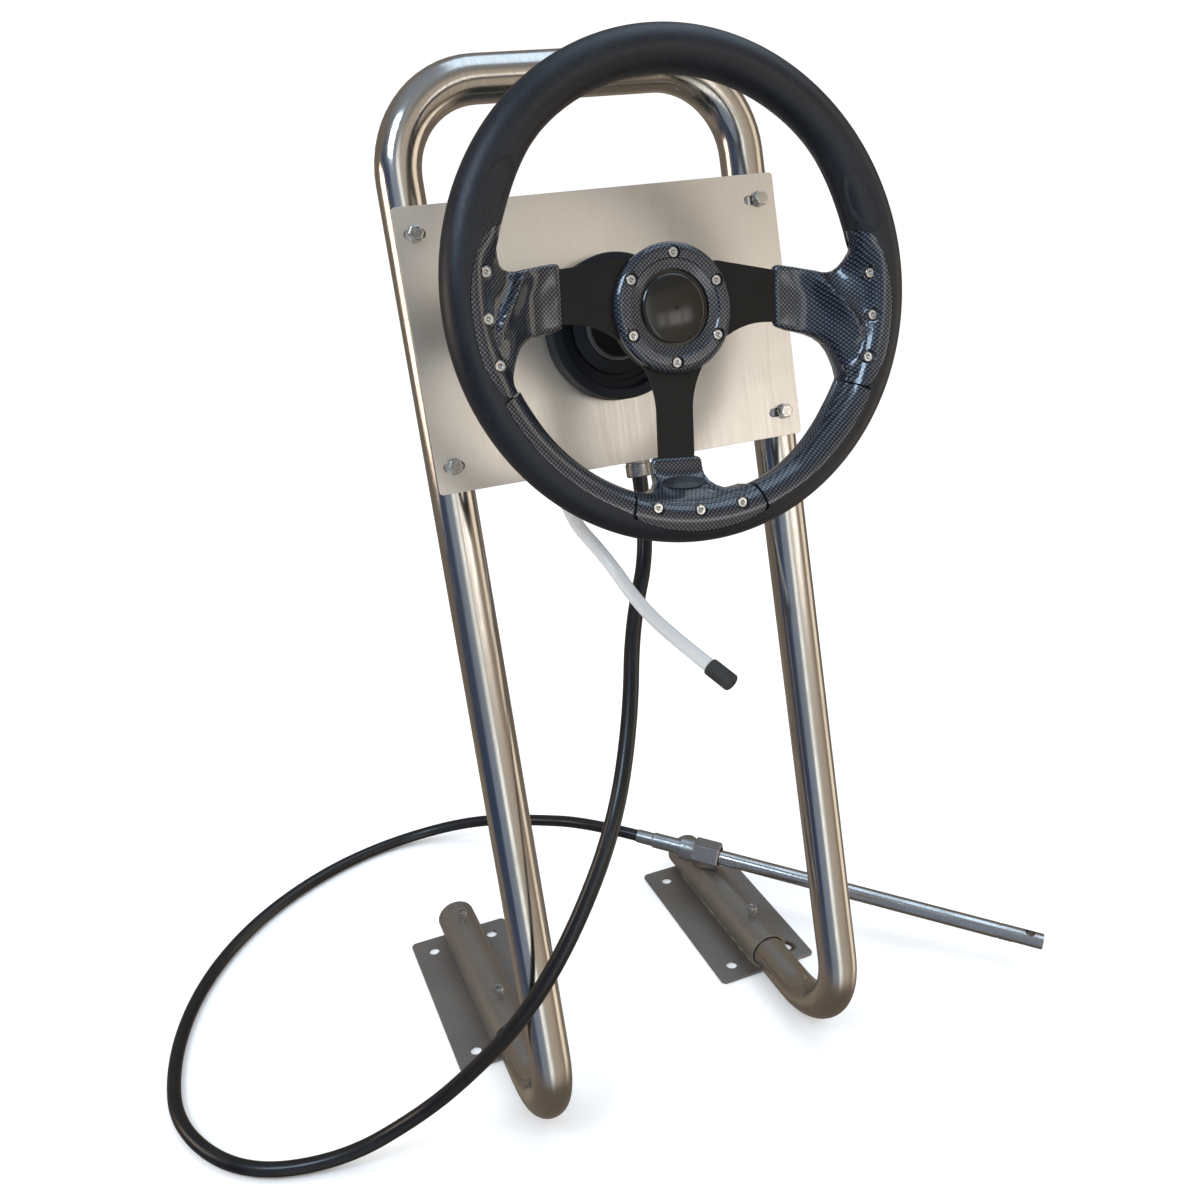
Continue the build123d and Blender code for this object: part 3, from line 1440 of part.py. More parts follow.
cap_line = spent_line.line % 1
cap_mouth = spent_line.line @ 1 - cap_line * cap_grip
with BuildPart() as spent_tube_cap:
    with BuildSketch(Plane(origin=cap_mouth, z_dir=cap_line)):
        Circle(cap_r)
    extrude(amount=cap_length)
    cap_end_edges = spent_tube_cap.faces().sort_by(Axis(cap_mouth, cap_line))[-1].edges()
    chamfer(cap_end_edges, cap_edge)
    with BuildSketch(Plane(origin=cap_mouth, z_dir=cap_line)):
        Circle(spent_r + running_gap)
    extrude(amount=cap_grip, mode=Mode.SUBTRACT)
spent_tube_cap.part.label = "spent_tube_cap"
export_step(spent_tube_cap.part, "parts/spent_tube_cap.step")
print("origin", origin_y, "front", rim_front_y)
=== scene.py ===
import bpy
import math
import numpy as np
from mathutils import Matrix, Vector
from mathutils.geometry import delaunay_2d_cdt


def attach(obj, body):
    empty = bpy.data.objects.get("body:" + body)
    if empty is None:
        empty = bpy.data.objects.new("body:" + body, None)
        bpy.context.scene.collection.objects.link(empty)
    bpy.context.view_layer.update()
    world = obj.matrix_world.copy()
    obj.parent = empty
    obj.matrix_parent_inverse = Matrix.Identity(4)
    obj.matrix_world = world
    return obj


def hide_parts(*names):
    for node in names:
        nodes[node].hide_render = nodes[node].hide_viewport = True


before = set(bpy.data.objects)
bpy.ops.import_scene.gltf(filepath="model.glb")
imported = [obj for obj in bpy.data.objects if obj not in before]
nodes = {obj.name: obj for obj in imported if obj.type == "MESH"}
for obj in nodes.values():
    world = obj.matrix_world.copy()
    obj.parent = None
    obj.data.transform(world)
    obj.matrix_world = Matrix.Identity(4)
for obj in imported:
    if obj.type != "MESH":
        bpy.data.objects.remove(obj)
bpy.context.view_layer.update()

# Camera: the photographer stands to the left of the wheel and looks down at it.
# The yaw, pitch and roll are those of a hand-held camera, and the lens is a short normal one.
camera_place = Vector((-0.330422, -0.780741, 0.804706))
camera_yaw = 0.3377
camera_pitch = 0.4253
camera_roll = 0.0695
look = Vector((
    math.sin(camera_yaw) * math.cos(camera_pitch),
    math.cos(camera_yaw) * math.cos(camera_pitch),
    -math.sin(camera_pitch),
))
level = Vector((math.cos(camera_yaw), -math.sin(camera_yaw), 0))
drop = look.cross(level)
camera_right = level * math.cos(camera_roll) + drop * math.sin(camera_roll)
camera_down = drop * math.cos(camera_roll) - level * math.sin(camera_roll)
camera_data = bpy.data.cameras.new("camera")
camera_data.lens = 33.576
camera_data.sensor_width = 36
camera_data.shift_x = 0.0340
camera_data.shift_y = 0.0127
camera_data.clip_start = 0.01
camera = bpy.data.objects.new("camera", camera_data)
bpy.context.scene.collection.objects.link(camera)
turned = Matrix((camera_right, -camera_down, -look)).transposed().to_4x4()
camera.matrix_world = Matrix.Translation(camera_place) @ turned
bpy.context.scene.camera = camera


# Lights: a small cool window high in front at the left, a broad cool ceiling light at the right
# and a low warm light from the left and behind, all turned to the wheel
def place_light(name, place, size, power, colour):
    """A square area light that looks at the wheel; size in metres and power in watts."""
    data = bpy.data.lights.new(name, "AREA")
    data.energy = power
    data.size = size
    data.color = colour
    light = bpy.data.objects.new(name, data)
    light.location = place
    light.rotation_euler = (lit_place - Vector(place)).to_track_quat("-Z", "Y").to_euler()
    bpy.context.scene.collection.objects.link(light)


lit_place = Vector((0, 0, 0.6))
cool_white = (0.62, 0.80, 1.0)
warm_white = (1.0, 0.82, 0.66)
place_light("window", (-1.2, -0.7, 2.1), 0.7, 18, cool_white)
place_light("ceiling", (0.7, 0.1, 2.2), 1.5, 12, cool_white)
place_light("warm_side", (-2.0, 0.5, 0.9), 0.9, 9, warm_white)

# The studio: plain white for the camera and for soft light. Reflections see a room instead, with
# brown walls, a dark blue corner at the left, a bright window left of the driver and one at the
# right, a warm floor, a cool ceiling and a pale screen in front, just above the level.
def feed(tree, value, socket):
    """Puts a plain value in a socket, or links another socket to it."""
    if isinstance(value, bpy.types.NodeSocket):
        tree.links.new(value, socket)
    else:
        socket.default_value = value


def add_math(tree, operation, *values):
    """A Math node; each value is a number or a socket."""
    node = tree.nodes.new("ShaderNodeMath")
    node.operation = operation
    for place, value in enumerate(values):
        feed(tree, value, node.inputs[place])
    return node.outputs[0]


def add_range(tree, value, low, high, to_low=0.0, to_high=1.0, smooth=True):
    """A Map Range node; its ends are numbers or sockets."""
    node = tree.nodes.new("ShaderNodeMapRange")
    if smooth:
        node.interpolation_type = "SMOOTHSTEP"
    tree.links.new(value, node.inputs["Value"])
    ends = {"From Min": low, "From Max": high, "To Min": to_low, "To Max": to_high}
    for label, end in ends.items():
        feed(tree, end, node.inputs[label])
    return node.outputs["Result"]


world = bpy.data.worlds.new("studio")
world.use_nodes = True
world_tree = world.node_tree
world_tree.nodes.clear()


def room_ramp(share, stops):
    """A colour ramp over a share of the room, from (position, colour or grey) rows."""
    ramp = world_tree.nodes.new("ShaderNodeValToRGB")
    world_tree.links.new(share, ramp.inputs["Fac"])
    elements = ramp.color_ramp.elements
    while len(elements) < len(stops):
        elements.new(0.5)
    for element, (position, colour) in zip(elements, stops):
        element.position = position
        element.color = (*colour, 1) if isinstance(colour, tuple) else (colour, colour, colour, 1)
    return ramp.outputs["Color"]


def room_blend(kind, first, second):
    """Two colours of the room, multiplied or added."""
    node = world_tree.nodes.new("ShaderNodeMix")
    node.data_type = "RGBA"
    node.blend_type = kind
    node.inputs["Factor"].default_value = 1
    world_tree.links.new(first, node.inputs["A"])
    world_tree.links.new(second, node.inputs["B"])
    return node.outputs["Result"]


split = world_tree.nodes.new("ShaderNodeSeparateXYZ")
world_tree.links.new(
    world_tree.nodes.new("ShaderNodeTexCoord").outputs["Generated"], split.inputs["Vector"]
)
from_front = add_math(world_tree, "MULTIPLY", split.outputs["Y"], -1)
round_turn = add_math(world_tree, "ARCTAN2", split.outputs["X"], from_front)
wall_share = add_range(world_tree, round_turn, -math.pi, math.pi, smooth=False)
level_share = add_range(world_tree, split.outputs["Z"], -1, 1, smooth=False)
walls = room_ramp(wall_share, (
    (0.00, (0.22, 0.19, 0.155)), (0.19, (0.20, 0.17, 0.14)), (0.22, (0.05, 0.075, 0.14)),
    (0.33, (0.05, 0.075, 0.14)), (0.35, (0.27, 0.33, 0.44)), (0.435, (0.31, 0.37, 0.46)),
    (0.45, (1.60, 1.62, 1.60)), (0.475, (1.50, 1.55, 1.50)), (0.50, (0.60, 0.60, 0.56)),
    (0.54, (0.62, 0.54, 0.45)), (0.61, (0.54, 0.47, 0.385)), (0.65, (0.40, 0.31, 0.24)),
    (0.675, (0.30, 0.22, 0.17)), (0.69, (1.35, 1.20, 0.98)), (0.74, (1.35, 1.20, 0.98)),
    (0.76, (0.20, 0.16, 0.125)), (0.93, (0.22, 0.18, 0.14)), (1.00, (0.22, 0.19, 0.155)),
))
floor_and_ceiling = room_ramp(level_share, (
    (0.00, (0.16, 0.135, 0.11)), (0.18, (0.20, 0.17, 0.14)), (0.30, 0), (0.72, 0), (0.84, 0.20),
    (1.00, (0.30, 0.35, 0.42)),
))
wall_levels = room_ramp(level_share, ((0.12, 0), (0.26, 1), (0.74, 1), (0.82, 0.15), (1.0, 0)))
screen = room_ramp(wall_share, (
    (0.50, 0), (0.525, 0.8), (0.538, 0.25), (0.552, 0.9), (0.578, 1), (0.586, 0.5), (0.60, 0.9),
    (0.63, 0),
))
screen_levels = room_ramp(level_share, (
    (0.50, 0), (0.54, (2.3, 2.25, 2.2)), (0.60, (2.0, 1.96, 1.9)), (0.65, 0),
))
room_color = room_blend("ADD", room_blend("MULTIPLY", walls, wall_levels), floor_and_ceiling)
room_color = room_blend("ADD", room_color, room_blend("MULTIPLY", screen, screen_levels))
room = world_tree.nodes.new("ShaderNodeBackground")
world_tree.links.new(room_color, room.inputs["Color"])
seen = world_tree.nodes.new("ShaderNodeBackground")
seen.inputs["Color"].default_value = (1, 1, 1, 1)
seen.inputs["Strength"].default_value = 1.06
choose = world_tree.nodes.new("ShaderNodeMixShader")
glossy_ray = world_tree.nodes.new("ShaderNodeLightPath").outputs["Is Glossy Ray"]
world_out = world_tree.nodes.new("ShaderNodeOutputWorld")
world_tree.links.new(glossy_ray, choose.inputs["Fac"])
world_tree.links.new(seen.outputs["Background"], choose.inputs[1])
world_tree.links.new(room.outputs["Background"], choose.inputs[2])
world_tree.links.new(choose.outputs["Shader"], world_out.inputs["Surface"])
bpy.context.scene.world = world
bpy.context.scene.view_settings.view_transform = "Standard"

# The floor that the photograph was cut out on: plain, nearly white and left out of reflections.
# Its top lies a little under the feet.
def make_material(name, base, metallic, roughness, **sockets):
    """A Principled material with plain values on the shader's own sockets."""
    material = bpy.data.materials.new(name)
    material.use_nodes = True
    shader = material.node_tree.nodes["Principled BSDF"]
    shader.inputs["Base Color"].default_value = (*base, 1)
    shader.inputs["Metallic"].default_value = metallic
    shader.inputs["Roughness"].default_value = roughness
    for socket, value in sockets.items():
        shader.inputs[socket.replace("_", " ")].default_value = value
    return material, material.node_tree, shader


def make_object(name, verts, faces):
    """A smooth mesh object from points in metres and faces."""
    mesh = bpy.data.meshes.new(name)
    mesh.from_pydata([tuple(v) for v in verts], [], [tuple(f) for f in faces])
    mesh.validate()
    mesh.update()
    mesh.shade_smooth()
    piece = bpy.data.objects.new(name, mesh)
    bpy.context.scene.collection.objects.link(piece)
    return piece


def add_mix(tree, factor, first, second):
    """A colour Mix node; each colour is a tuple or a socket."""
    node = tree.nodes.new("ShaderNodeMix")
    node.data_type = "RGBA"
    tree.links.new(factor, node.inputs["Factor"])
    for label, colour in (("A", first), ("B", second)):
        feed(tree, (*colour, 1) if isinstance(colour, tuple) else colour, node.inputs[label])
    return node.outputs["Result"]


def add_noise(tree, vector, scale, detail=3.0, roughness=0.5):
    """A Noise node over a vector, or over the object's own box if there is none."""
    node = tree.nodes.new("ShaderNodeTexNoise")
    if vector is not None:
        tree.links.new(vector, node.inputs["Vector"])
    feed(tree, scale, node.inputs["Scale"])
    node.inputs["Detail"].default_value = detail
    node.inputs["Roughness"].default_value = roughness
    return node.outputs["Fac"]


floor_reach = 6.0
floor_top = -0.0004
floor = make_object(
    "floor",
    [(x * floor_reach, y * floor_reach, floor_top) for x, y in ((-1, -1), (1, -1), (1, 1), (-1, 1))],
    [(0, 1, 2, 3)],
)
floor_material, floor_tree, floor_shader = make_material(
    "pale_floor", (0.97, 0.97, 0.97), 0, 0.9, Specular_IOR_Level=0.0
)
floor_tint = add_mix(
    floor_tree, add_noise(floor_tree, None, 3.0, 2.0), (0.965, 0.965, 0.965), (0.98, 0.98, 0.975)
)
floor_tree.links.new(floor_tint, floor_shader.inputs["Base Color"])
floor.data.materials.append(floor_material)
floor.visible_glossy = False

# The part's own measures: the stand leans back by 15 degrees, and the helm and the wheel are
# square to it
lean = math.radians(15)
up = Vector((0, math.sin(lean), math.cos(lean)))
out = Vector((0, -math.cos(lean), math.sin(lean)))
across = Vector((1, 0, 0))
origin_y = 151.038
mm = 0.001
knee_place = Vector((0, -origin_y, 21.8)) * mm
helm_centre = knee_place + up * 648 * mm + out * 18.7 * mm

# Feet: two flat plates of cut stainless steel with a sleeve welded along each. Cut and bent plate
# keeps its dull mill skin, with scratches, and one floor hole has begun to rust.
def new_group(name, inputs, outputs):
    """A shader node group with named sockets; inputs and outputs are (name, kind, value)."""
    group = bpy.data.node_groups.new(name, "ShaderNodeTree")
    for label, kind, value in inputs:
        socket = group.interface.new_socket(label, in_out="INPUT", socket_type=kind)
        socket.default_value = value
    for label, kind in outputs:
        group.interface.new_socket(label, in_out="OUTPUT", socket_type=kind)
    return group, group.nodes.new("NodeGroupInput"), group.nodes.new("NodeGroupOutput")


def add_vector(tree, operation, first, second):
    """A Vector Math node; the second value is a vector or a socket."""
    node = tree.nodes.new("ShaderNodeVectorMath")
    node.operation = operation
    tree.links.new(first, node.inputs[0])
    feed(tree, second, node.inputs[1])
    return node.outputs["Value" if operation in ("DISTANCE", "DOT_PRODUCT") else "Vector"]


# Grain and wear of a surface: fine streaks along one direction over broad, soft blotches
wear, wear_in, wear_out = new_group(
    "surface_wear",
    (
        ("Clean Color", "NodeSocketColor", (0.5, 0.5, 0.5, 1)),
        ("Worn Color", "NodeSocketColor", (0.3, 0.3, 0.3, 1)),
        ("Stretch", "NodeSocketVector", (1, 1, 1)),
        ("Grain Scale", "NodeSocketFloat", 400.0),
        ("Blotch Scale", "NodeSocketFloat", 18.0),
        ("Low Roughness", "NodeSocketFloat", 0.3),
        ("High Roughness", "NodeSocketFloat", 0.5),
    ),
    (("Color", "NodeSocketColor"), ("Roughness", "NodeSocketFloat"), ("Height", "NodeSocketFloat")),
)
wear_place = wear.nodes.new("ShaderNodeTexCoord").outputs["Object"]
stretched = add_vector(wear, "MULTIPLY", wear_place, wear_in.outputs["Stretch"])
grain = add_noise(wear, stretched, wear_in.outputs["Grain Scale"], 4.0, 0.6)
blotch = add_noise(wear, wear_place, wear_in.outputs["Blotch Scale"], 5.0, 0.55)
both = add_math(
    wear, "ADD", add_math(wear, "MULTIPLY", grain, 0.45), add_math(wear, "MULTIPLY", blotch, 0.55)
)
worn_share = add_range(wear, both, 0.36, 0.64)
wear.links.new(
    add_mix(wear, worn_share, wear_in.outputs["Clean Color"], wear_in.outputs["Worn Color"]),
    wear_out.inputs["Color"],
)
wear.links.new(
    add_range(wear, both, 0.38, 0.62, wear_in.outputs["Low Roughness"], wear_in.outputs["High Roughness"]),
    wear_out.inputs["Roughness"],
)
wear.links.new(grain, wear_out.inputs["Height"])


def add_bump(tree, shader, height, strength, distance):
    """Raises a surface by a height socket; the distance is in metres."""
    node = tree.nodes.new("ShaderNodeBump")
    node.inputs["Strength"].default_value = strength
    node.inputs["Distance"].default_value = distance
    tree.links.new(height, node.inputs["Height"])
    tree.links.new(node.outputs["Normal"], shader.inputs["Normal"])


def worn_material(name, clean, worn, metallic, roughness, scales, bump, stretch=(1, 1, 1), **sockets):
    """A Principled material fed by the wear group: scales are (grain, blotch), bump in metres."""
    material, tree, shader = make_material(name, clean, metallic, roughness[0], **sockets)
    use = tree.nodes.new("ShaderNodeGroup")
    use.node_tree = wear
    values = {
        "Clean Color": (*clean, 1), "Worn Color": (*worn, 1), "Stretch": stretch,
        "Grain Scale": scales[0], "Blotch Scale": scales[1],
        "Low Roughness": roughness[0], "High Roughness": roughness[1],
    }
    for label, value in values.items():
        use.inputs[label].default_value = value
    tree.links.new(use.outputs["Color"], shader.inputs["Base Color"])
    tree.links.new(use.outputs["Roughness"], shader.inputs["Roughness"])
    if bump:
        add_bump(tree, shader, use.outputs["Height"], 1.0, bump)
    return material


def split_creases(piece, degrees):
    """Keeps a smooth piece's edges crisp where its faces meet at more than some degrees."""
    crease = piece.modifiers.new("creases", "EDGE_SPLIT")
    crease.split_angle = math.radians(degrees)


def break_edges(piece, width, steps, degrees, clamped=False):
    """Bevels a piece's edges over some degrees; the width is in metres."""
    broken = piece.modifiers.new("broken_edges", "BEVEL")
    broken.width = width
    broken.segments = steps
    broken.limit_method = "ANGLE"
    broken.angle_limit = math.radians(degrees)
    broken.use_clamp_overlap = clamped


def dress(material, edge, *names, steps=2):
    """Gives nodes a material, smooth round faces and, if edge isn't 0, edges broken by it."""
    for name in names:
        node = nodes[name]
        mesh = node.data
        mesh.materials.clear()
        mesh.materials.append(material)
        mesh.polygons.foreach_set("use_smooth", [True] * len(mesh.polygons))
        weld = node.modifiers.new("weld", "WELD")
        weld.merge_threshold = 0.000002
        if edge:
            flat = node.modifiers.new("flat_faces", "DECIMATE")
            flat.decimate_type = "DISSOLVE"
            flat.angle_limit = math.radians(0.6)
            break_edges(node, edge, steps, 38)
        split_creases(node, 34)
        if edge:
            level_faces = node.modifiers.new("level_faces", "WEIGHTED_NORMAL")
            level_faces.weight = 80


foot_steel = worn_material(
    "mill_finish_plate", (0.285, 0.268, 0.248), (0.225, 0.208, 0.19), 0.8, (0.42, 0.56),
    (420, 14), 0.00004,
)
# Rust round the right plate's near right hole
rusty_hole = (0.168, 0.0039, 0.0025)
foot_tree = foot_steel.node_tree
foot_color = foot_tree.nodes["Principled BSDF"].inputs["Base Color"]
foot_place = foot_tree.nodes.new("ShaderNodeTexCoord").outputs["Object"]
rust_ragged = add_math(
    foot_tree, "ADD", add_vector(foot_tree, "DISTANCE", foot_place, rusty_hole),
    add_math(foot_tree, "MULTIPLY", add_noise(foot_tree, foot_place, 160, 4.0), 0.012),
)
rust_share = add_range(foot_tree, rust_ragged, 0.0125, 0.0165, 0.85, 0.0)
foot_tree.links.new(
    add_mix(foot_tree, rust_share, foot_color.links[0].from_socket, (0.09, 0.045, 0.022)), foot_color
)
dress(foot_steel, 0.0003, "left_base_plate", "right_base_plate")
sleeve_steel = worn_material(
    "drawn_tube_sleeve", (0.36, 0.335, 0.305), (0.28, 0.26, 0.235), 0.9, (0.33, 0.46),
    (520, 16), 0.00002, (1, 0.06, 1),
)
dress(sleeve_steel, 0.0003, "left_sleeve", "right_sleeve")

# Weld beads: stainless filler laid in small overlapping ripples along both sides of each sleeve,
# which joins it to its plate. The heat has left them brown in places.
weld_steel = worn_material(
    "weld_metal", (0.36, 0.33, 0.30), (0.16, 0.12, 0.10), 0.9, (0.30, 0.55), (300, 60), 0.0002,
)
leg_half = 136 * mm
plate_far_y = (325 - origin_y) * mm
bead_length = 176 * mm
bead_end_inset = 8 * mm
bead_from_middle = 10.9 * mm
bead_height = 3.4 * mm
bead_lean = 0.9 * mm
bead_ripple = 2.6 * mm
bead_radius = 2.3 * mm
bead_steps = 270
bead_sides = 12


def ring_faces(ring_total, size, first=0, closed=False):
    """Quads between rings of size points each; a closed run joins the last ring to the first."""
    faces = []
    for ring in range(ring_total if closed else ring_total - 1):
        here = first + ring * size
        after = first + (ring + 1) % ring_total * size
        for corner in range(size):
            beside = (corner + 1) % size
            faces.append((here + corner, here + beside, after + beside, after + corner))
    return faces


for side, side_name in ((-1, "left"), (1, "right")):
    verts = []
    faces = []
    for bead in (-1, 1):
        first = len(verts)
        for step in range(bead_steps + 1):
            along = step / bead_steps
            y = plate_far_y - bead_end_inset - along * bead_length
            phase = (y / bead_ripple) % 1.0
            swell = 0.82 + 0.18 * math.sqrt(max(1 - (2 * phase - 1) ** 2, 0))
            swell *= 1 + 0.08 * math.sin(y * 410 + bead) + 0.05 * math.sin(y * 1130)
            swell *= min(1.0, 12 * min(along, 1 - along) + 0.25)
            for corner in range(bead_sides):
                angle = 2 * math.pi * corner / bead_sides
                wide = 1.15 * bead_radius * swell * math.cos(angle)
                verts.append((
                    side * leg_half + bead * bead_from_middle + wide,
                    y + bead_lean * math.sin(angle) ** 2,
                    bead_height + bead_radius * swell * math.sin(angle),
                ))
        faces += ring_faces(bead_steps + 1, bead_sides, first)
        faces.append(tuple(first + corner for corner in range(bead_sides))[::-1])
        faces.append(tuple(first + bead_steps * bead_sides + corner for corner in range(bead_sides)))
    beads = make_object(f"{side_name}_weld_beads", verts, faces)
    beads.data.materials.append(weld_steel)
    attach(beads, "root")

# Clamp screws: plated socket-head screws, two down through the top of each sleeve. Their ends
# press on the tube and hold it.
screw_steel = worn_material(
    "plated_screw", (0.62, 0.61, 0.59), (0.38, 0.37, 0.35), 1.0, (0.20, 0.38), (900, 120), 0.00004,
)
dress(screw_steel, 0.0005, "clamp_screws")

# Frame: one stainless tube, bent four times, with its ends in the sleeves. It is polished by
# hand, so its streaks run along it.
tube_steel = worn_material(
    "polished_tube", (0.60, 0.57, 0.53), (0.52, 0.49, 0.45), 1.0, (0.13, 0.22),
    (420, 7), 0.000006, (1, 0.5, 0.05),
)
dress(tube_steel, 0, "frame_tube")

# Dash panel: a sheet of stainless steel, brushed up and down, with sheared and broken edges. It
# is bolted on the front of the legs.
sheet_steel = worn_material(
    "brushed_sheet", (0.72, 0.69, 0.645), (0.665, 0.635, 0.59), 0.97, (0.30, 0.40),
    (1900, 7), 0.000005, (1, 0.012, 0.012),
)
dress(sheet_steel, 0.00035, "panel_plate")

# Panel bolts: plated hexagon bolts with washers, put through the panel's slots and the legs into
# nuts behind them
dress(screw_steel, 0.0004, "panel_bolts", "panel_nuts")
dress(screw_steel, 0.0002, "panel_washers")

# Bezel and outlet: a dished ring of moulded black plastic with a fine matt grain, held from
# behind, and the outlet of the spent-travel tube in the same plastic
bezel_plastic = worn_material(
    "matt_black_plastic", (0.003, 0.0045, 0.008), (0.007, 0.009, 0.013), 0.0, (0.42, 0.56),
    (1300, 30), 0.00004, Specular_IOR_Level=0.25,
)
dress(bezel_plastic, 0.0004, "helm_bezel", "spent_tube_outlet")

# Helm housing and rear cover: die-cast aluminium with a thin dark coat, worn at random. Plated
# screws through the housing's flange hold it and the bezel on the panel, and others the cover.
cast_metal = worn_material(
    "coated_casting", (0.060, 0.062, 0.066), (0.115, 0.115, 0.115), 0.45, (0.42, 0.62),
    (700, 24), 0.00018,
)
dress(cast_metal, 0.0006, "helm_housing")
dress(cast_metal, 0.0003, "rear_cover")
dress(screw_steel, 0.0005, "mount_screws", "cover_screws")

# Gears, drum, pins, shaft and core: oiled machined steel inside the housing. The shaft and the
# drum turn in bushes of sintered bronze.
gear_steel = worn_material(
    "oiled_gear_steel", (0.36, 0.35, 0.33), (0.22, 0.20, 0.17), 1.0, (0.22, 0.38), (800, 60), 0.00003,
)
bronze = worn_material(
    "sintered_bronze", (0.47, 0.30, 0.14), (0.30, 0.17, 0.08), 1.0, (0.34, 0.52), (1600, 60), 0.00008,
)
dress(
    gear_steel, 0, "ring_gear", "sun_gear", "planet_gear_1", "planet_gear_2", "planet_gear_3",
    "cable_drum", "planet_pins", "inner_core", "input_shaft", "shaft_key",
)
dress(bronze, 0, "front_bush", "drum_bush")

# Seal, stop ring and tube cap: moulded black rubber, dull and slightly dusty. The seal sits round
# the shaft, the button comes down on the stop ring, and the cap closes the spent-travel tube.
rubber = worn_material(
    "dusty_rubber", (0.014, 0.014, 0.014), (0.034, 0.033, 0.031), 0.0, (0.55, 0.75), (700, 60), 0.00012,
)
dress(rubber, 0.0004, "shaft_seal", "stop_ring", "spent_tube_cap")

# Cable fittings: turned steel with a dull zinc coat, the coupler on the helm, the hub and its
# hexagon nut on the cable's end, and the guide tube and ram that slide out of them
fitting_steel = worn_material(
    "zinc_coated_steel", (0.46, 0.455, 0.445), (0.30, 0.295, 0.285), 1.0, (0.27, 0.44),
    (900, 50), 0.00005,
)
ram_steel = worn_material(
    "ground_ram_steel", (0.56, 0.55, 0.53), (0.40, 0.39, 0.37), 1.0, (0.17, 0.31),
    (700, 30), 0.00002, (1, 1, 0.5),
)
dress(fitting_steel, 0.0003, "cable_coupler", "cable_hub", "cable_nut")
dress(ram_steel, 0, "guide_tube", "steering_ram")

# Steering cable: a push-pull core in a steel-armoured jacket of glossy black plastic, half an
# inch thick. It hangs from the coupler, runs one loose loop on the floor and ends in the hub
# behind the ram. The points are the route of the part.
nut_centre = Vector((135, 264.5 - origin_y, 56)) * mm
ram_heading = math.radians(43.9)
ram_slope = math.radians(4.6)
ram_line = Vector((
    math.cos(ram_slope) * math.cos(ram_heading),
    -math.cos(ram_slope) * math.sin(ram_heading),
    -math.sin(ram_slope),
))
cable_start = helm_centre + (across * 35 - out * 69 - up * 116.5) * mm
hub_end = nut_centre - ram_line * 80 * mm
cable_places = (
    (-5, 122, 422), (-34, 65, 371), (-71, 16, 315), (-116, -4, 246), (-156, 3, 177),
    (-194, 34, 107), (-237, 65, 45), (-309, 80, 7), (-391, 102, 7), (-439, 174, 7),
    (-437, 256, 7), (-410, 337, 7), (-363, 405, 7), (-302, 457, 7), (-227, 495, 7),
    (-145, 512, 7), (-67, 482, 26), (-10, 428, 43),
)
cable_points = (
    [cable_start, cable_start - up * 56 * mm]
    + [Vector((x, y - origin_y, z)) * mm for x, y, z in cable_places]
    + [hub_end - ram_line * 60 * mm, hub_end]
)


def draw_cord(name, points, radius):
    """A smooth cord on a NURBS spline whose control points are the route."""
    curve = bpy.data.curves.new(name, "CURVE")
    curve.dimensions = "3D"
    curve.bevel_depth = radius
    curve.bevel_resolution = 6
    curve.resolution_u = 16
    spline = curve.splines.new("NURBS")
    spline.points.add(len(points) - 1)
    for point, place in zip(spline.points, points):
        point.co = (*place, 1)
    spline.order_u = 3
    spline.use_endpoint_u = True
    piece = bpy.data.objects.new(name, curve)
    bpy.context.scene.collection.objects.link(piece)
    return piece


cable = draw_cord("cable_jacket", cable_points, 6.35 * mm)
jacket, jacket_tree, jacket_shader = make_material(
    "cable_jacket_plastic", (0.006, 0.006, 0.007), 0, 0.28, Specular_IOR_Level=0.4, Coat_Weight=0.15,
    Coat_Roughness=0.1,
)
scuff = add_noise(jacket_tree, None, 90, 4)
jacket_tree.links.new(
    add_range(jacket_tree, scuff, 0, 1, 0.22, 0.42, smooth=False), jacket_shader.inputs["Roughness"]
)
jacket_tree.links.new(
    add_mix(jacket_tree, scuff, (0.004, 0.0042, 0.005), (0.010, 0.010, 0.0105)),
    jacket_shader.inputs["Base Color"],
)
add_bump(jacket_tree, jacket_shader, scuff, 0.12, 0.0004)
cable.data.materials.append(jacket)
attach(cable, "root")
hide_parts("steering_cable")

# Spent-travel tube: clear-white plastic pushed over the outlet's nipple, with a black rubber
# cap on its end. It catches the core's free end and curls forward under the panel.
spent_places = (
    (-35, -92, -69), (-35, -134, -69), (-9, -176, -57), (-2, -214, -17), (12, -242, 21),
    (29, -268, 56),
)
spent_points = [helm_centre + (across * x + up * u + out * h) * mm for x, u, h in spent_places]
spent_tube = draw_cord("spent_travel_tube", spent_points, 5.5 * mm)
milky, milky_tree, milky_shader = make_material(
    "milky_plastic", (0.60, 0.61, 0.61), 0, 0.3, Subsurface_Weight=0.25, Subsurface_Scale=0.004,
    Coat_Weight=0.2,
)
milky_tree.links.new(
    add_mix(milky_tree, add_noise(milky_tree, None, 40, 2), (0.50, 0.515, 0.52), (0.62, 0.63, 0.63)),
    milky_shader.inputs["Base Color"],
)
spent_tube.data.materials.append(milky)
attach(spent_tube, "root")
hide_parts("spent_tube")

# Wheel frame and hub adapter: a flat three-spoke plate with raised arms, on a flared boss keyed
# to the shaft. Both are aluminium with a satin black coat and broken edges.
wheel_turn = math.radians(6.2)
wheel_across = across * math.cos(wheel_turn) - up * math.sin(wheel_turn)
wheel_up = up * math.cos(wheel_turn) + across * math.sin(wheel_turn)


def wheel_points(places):
    """Metres from wheel places (across, up, height out of the panel) in millimetres."""
    places = np.asarray(places, dtype=float)
    basis = np.array([wheel_across, wheel_up, out])
    return np.array(helm_centre) + places @ basis * mm


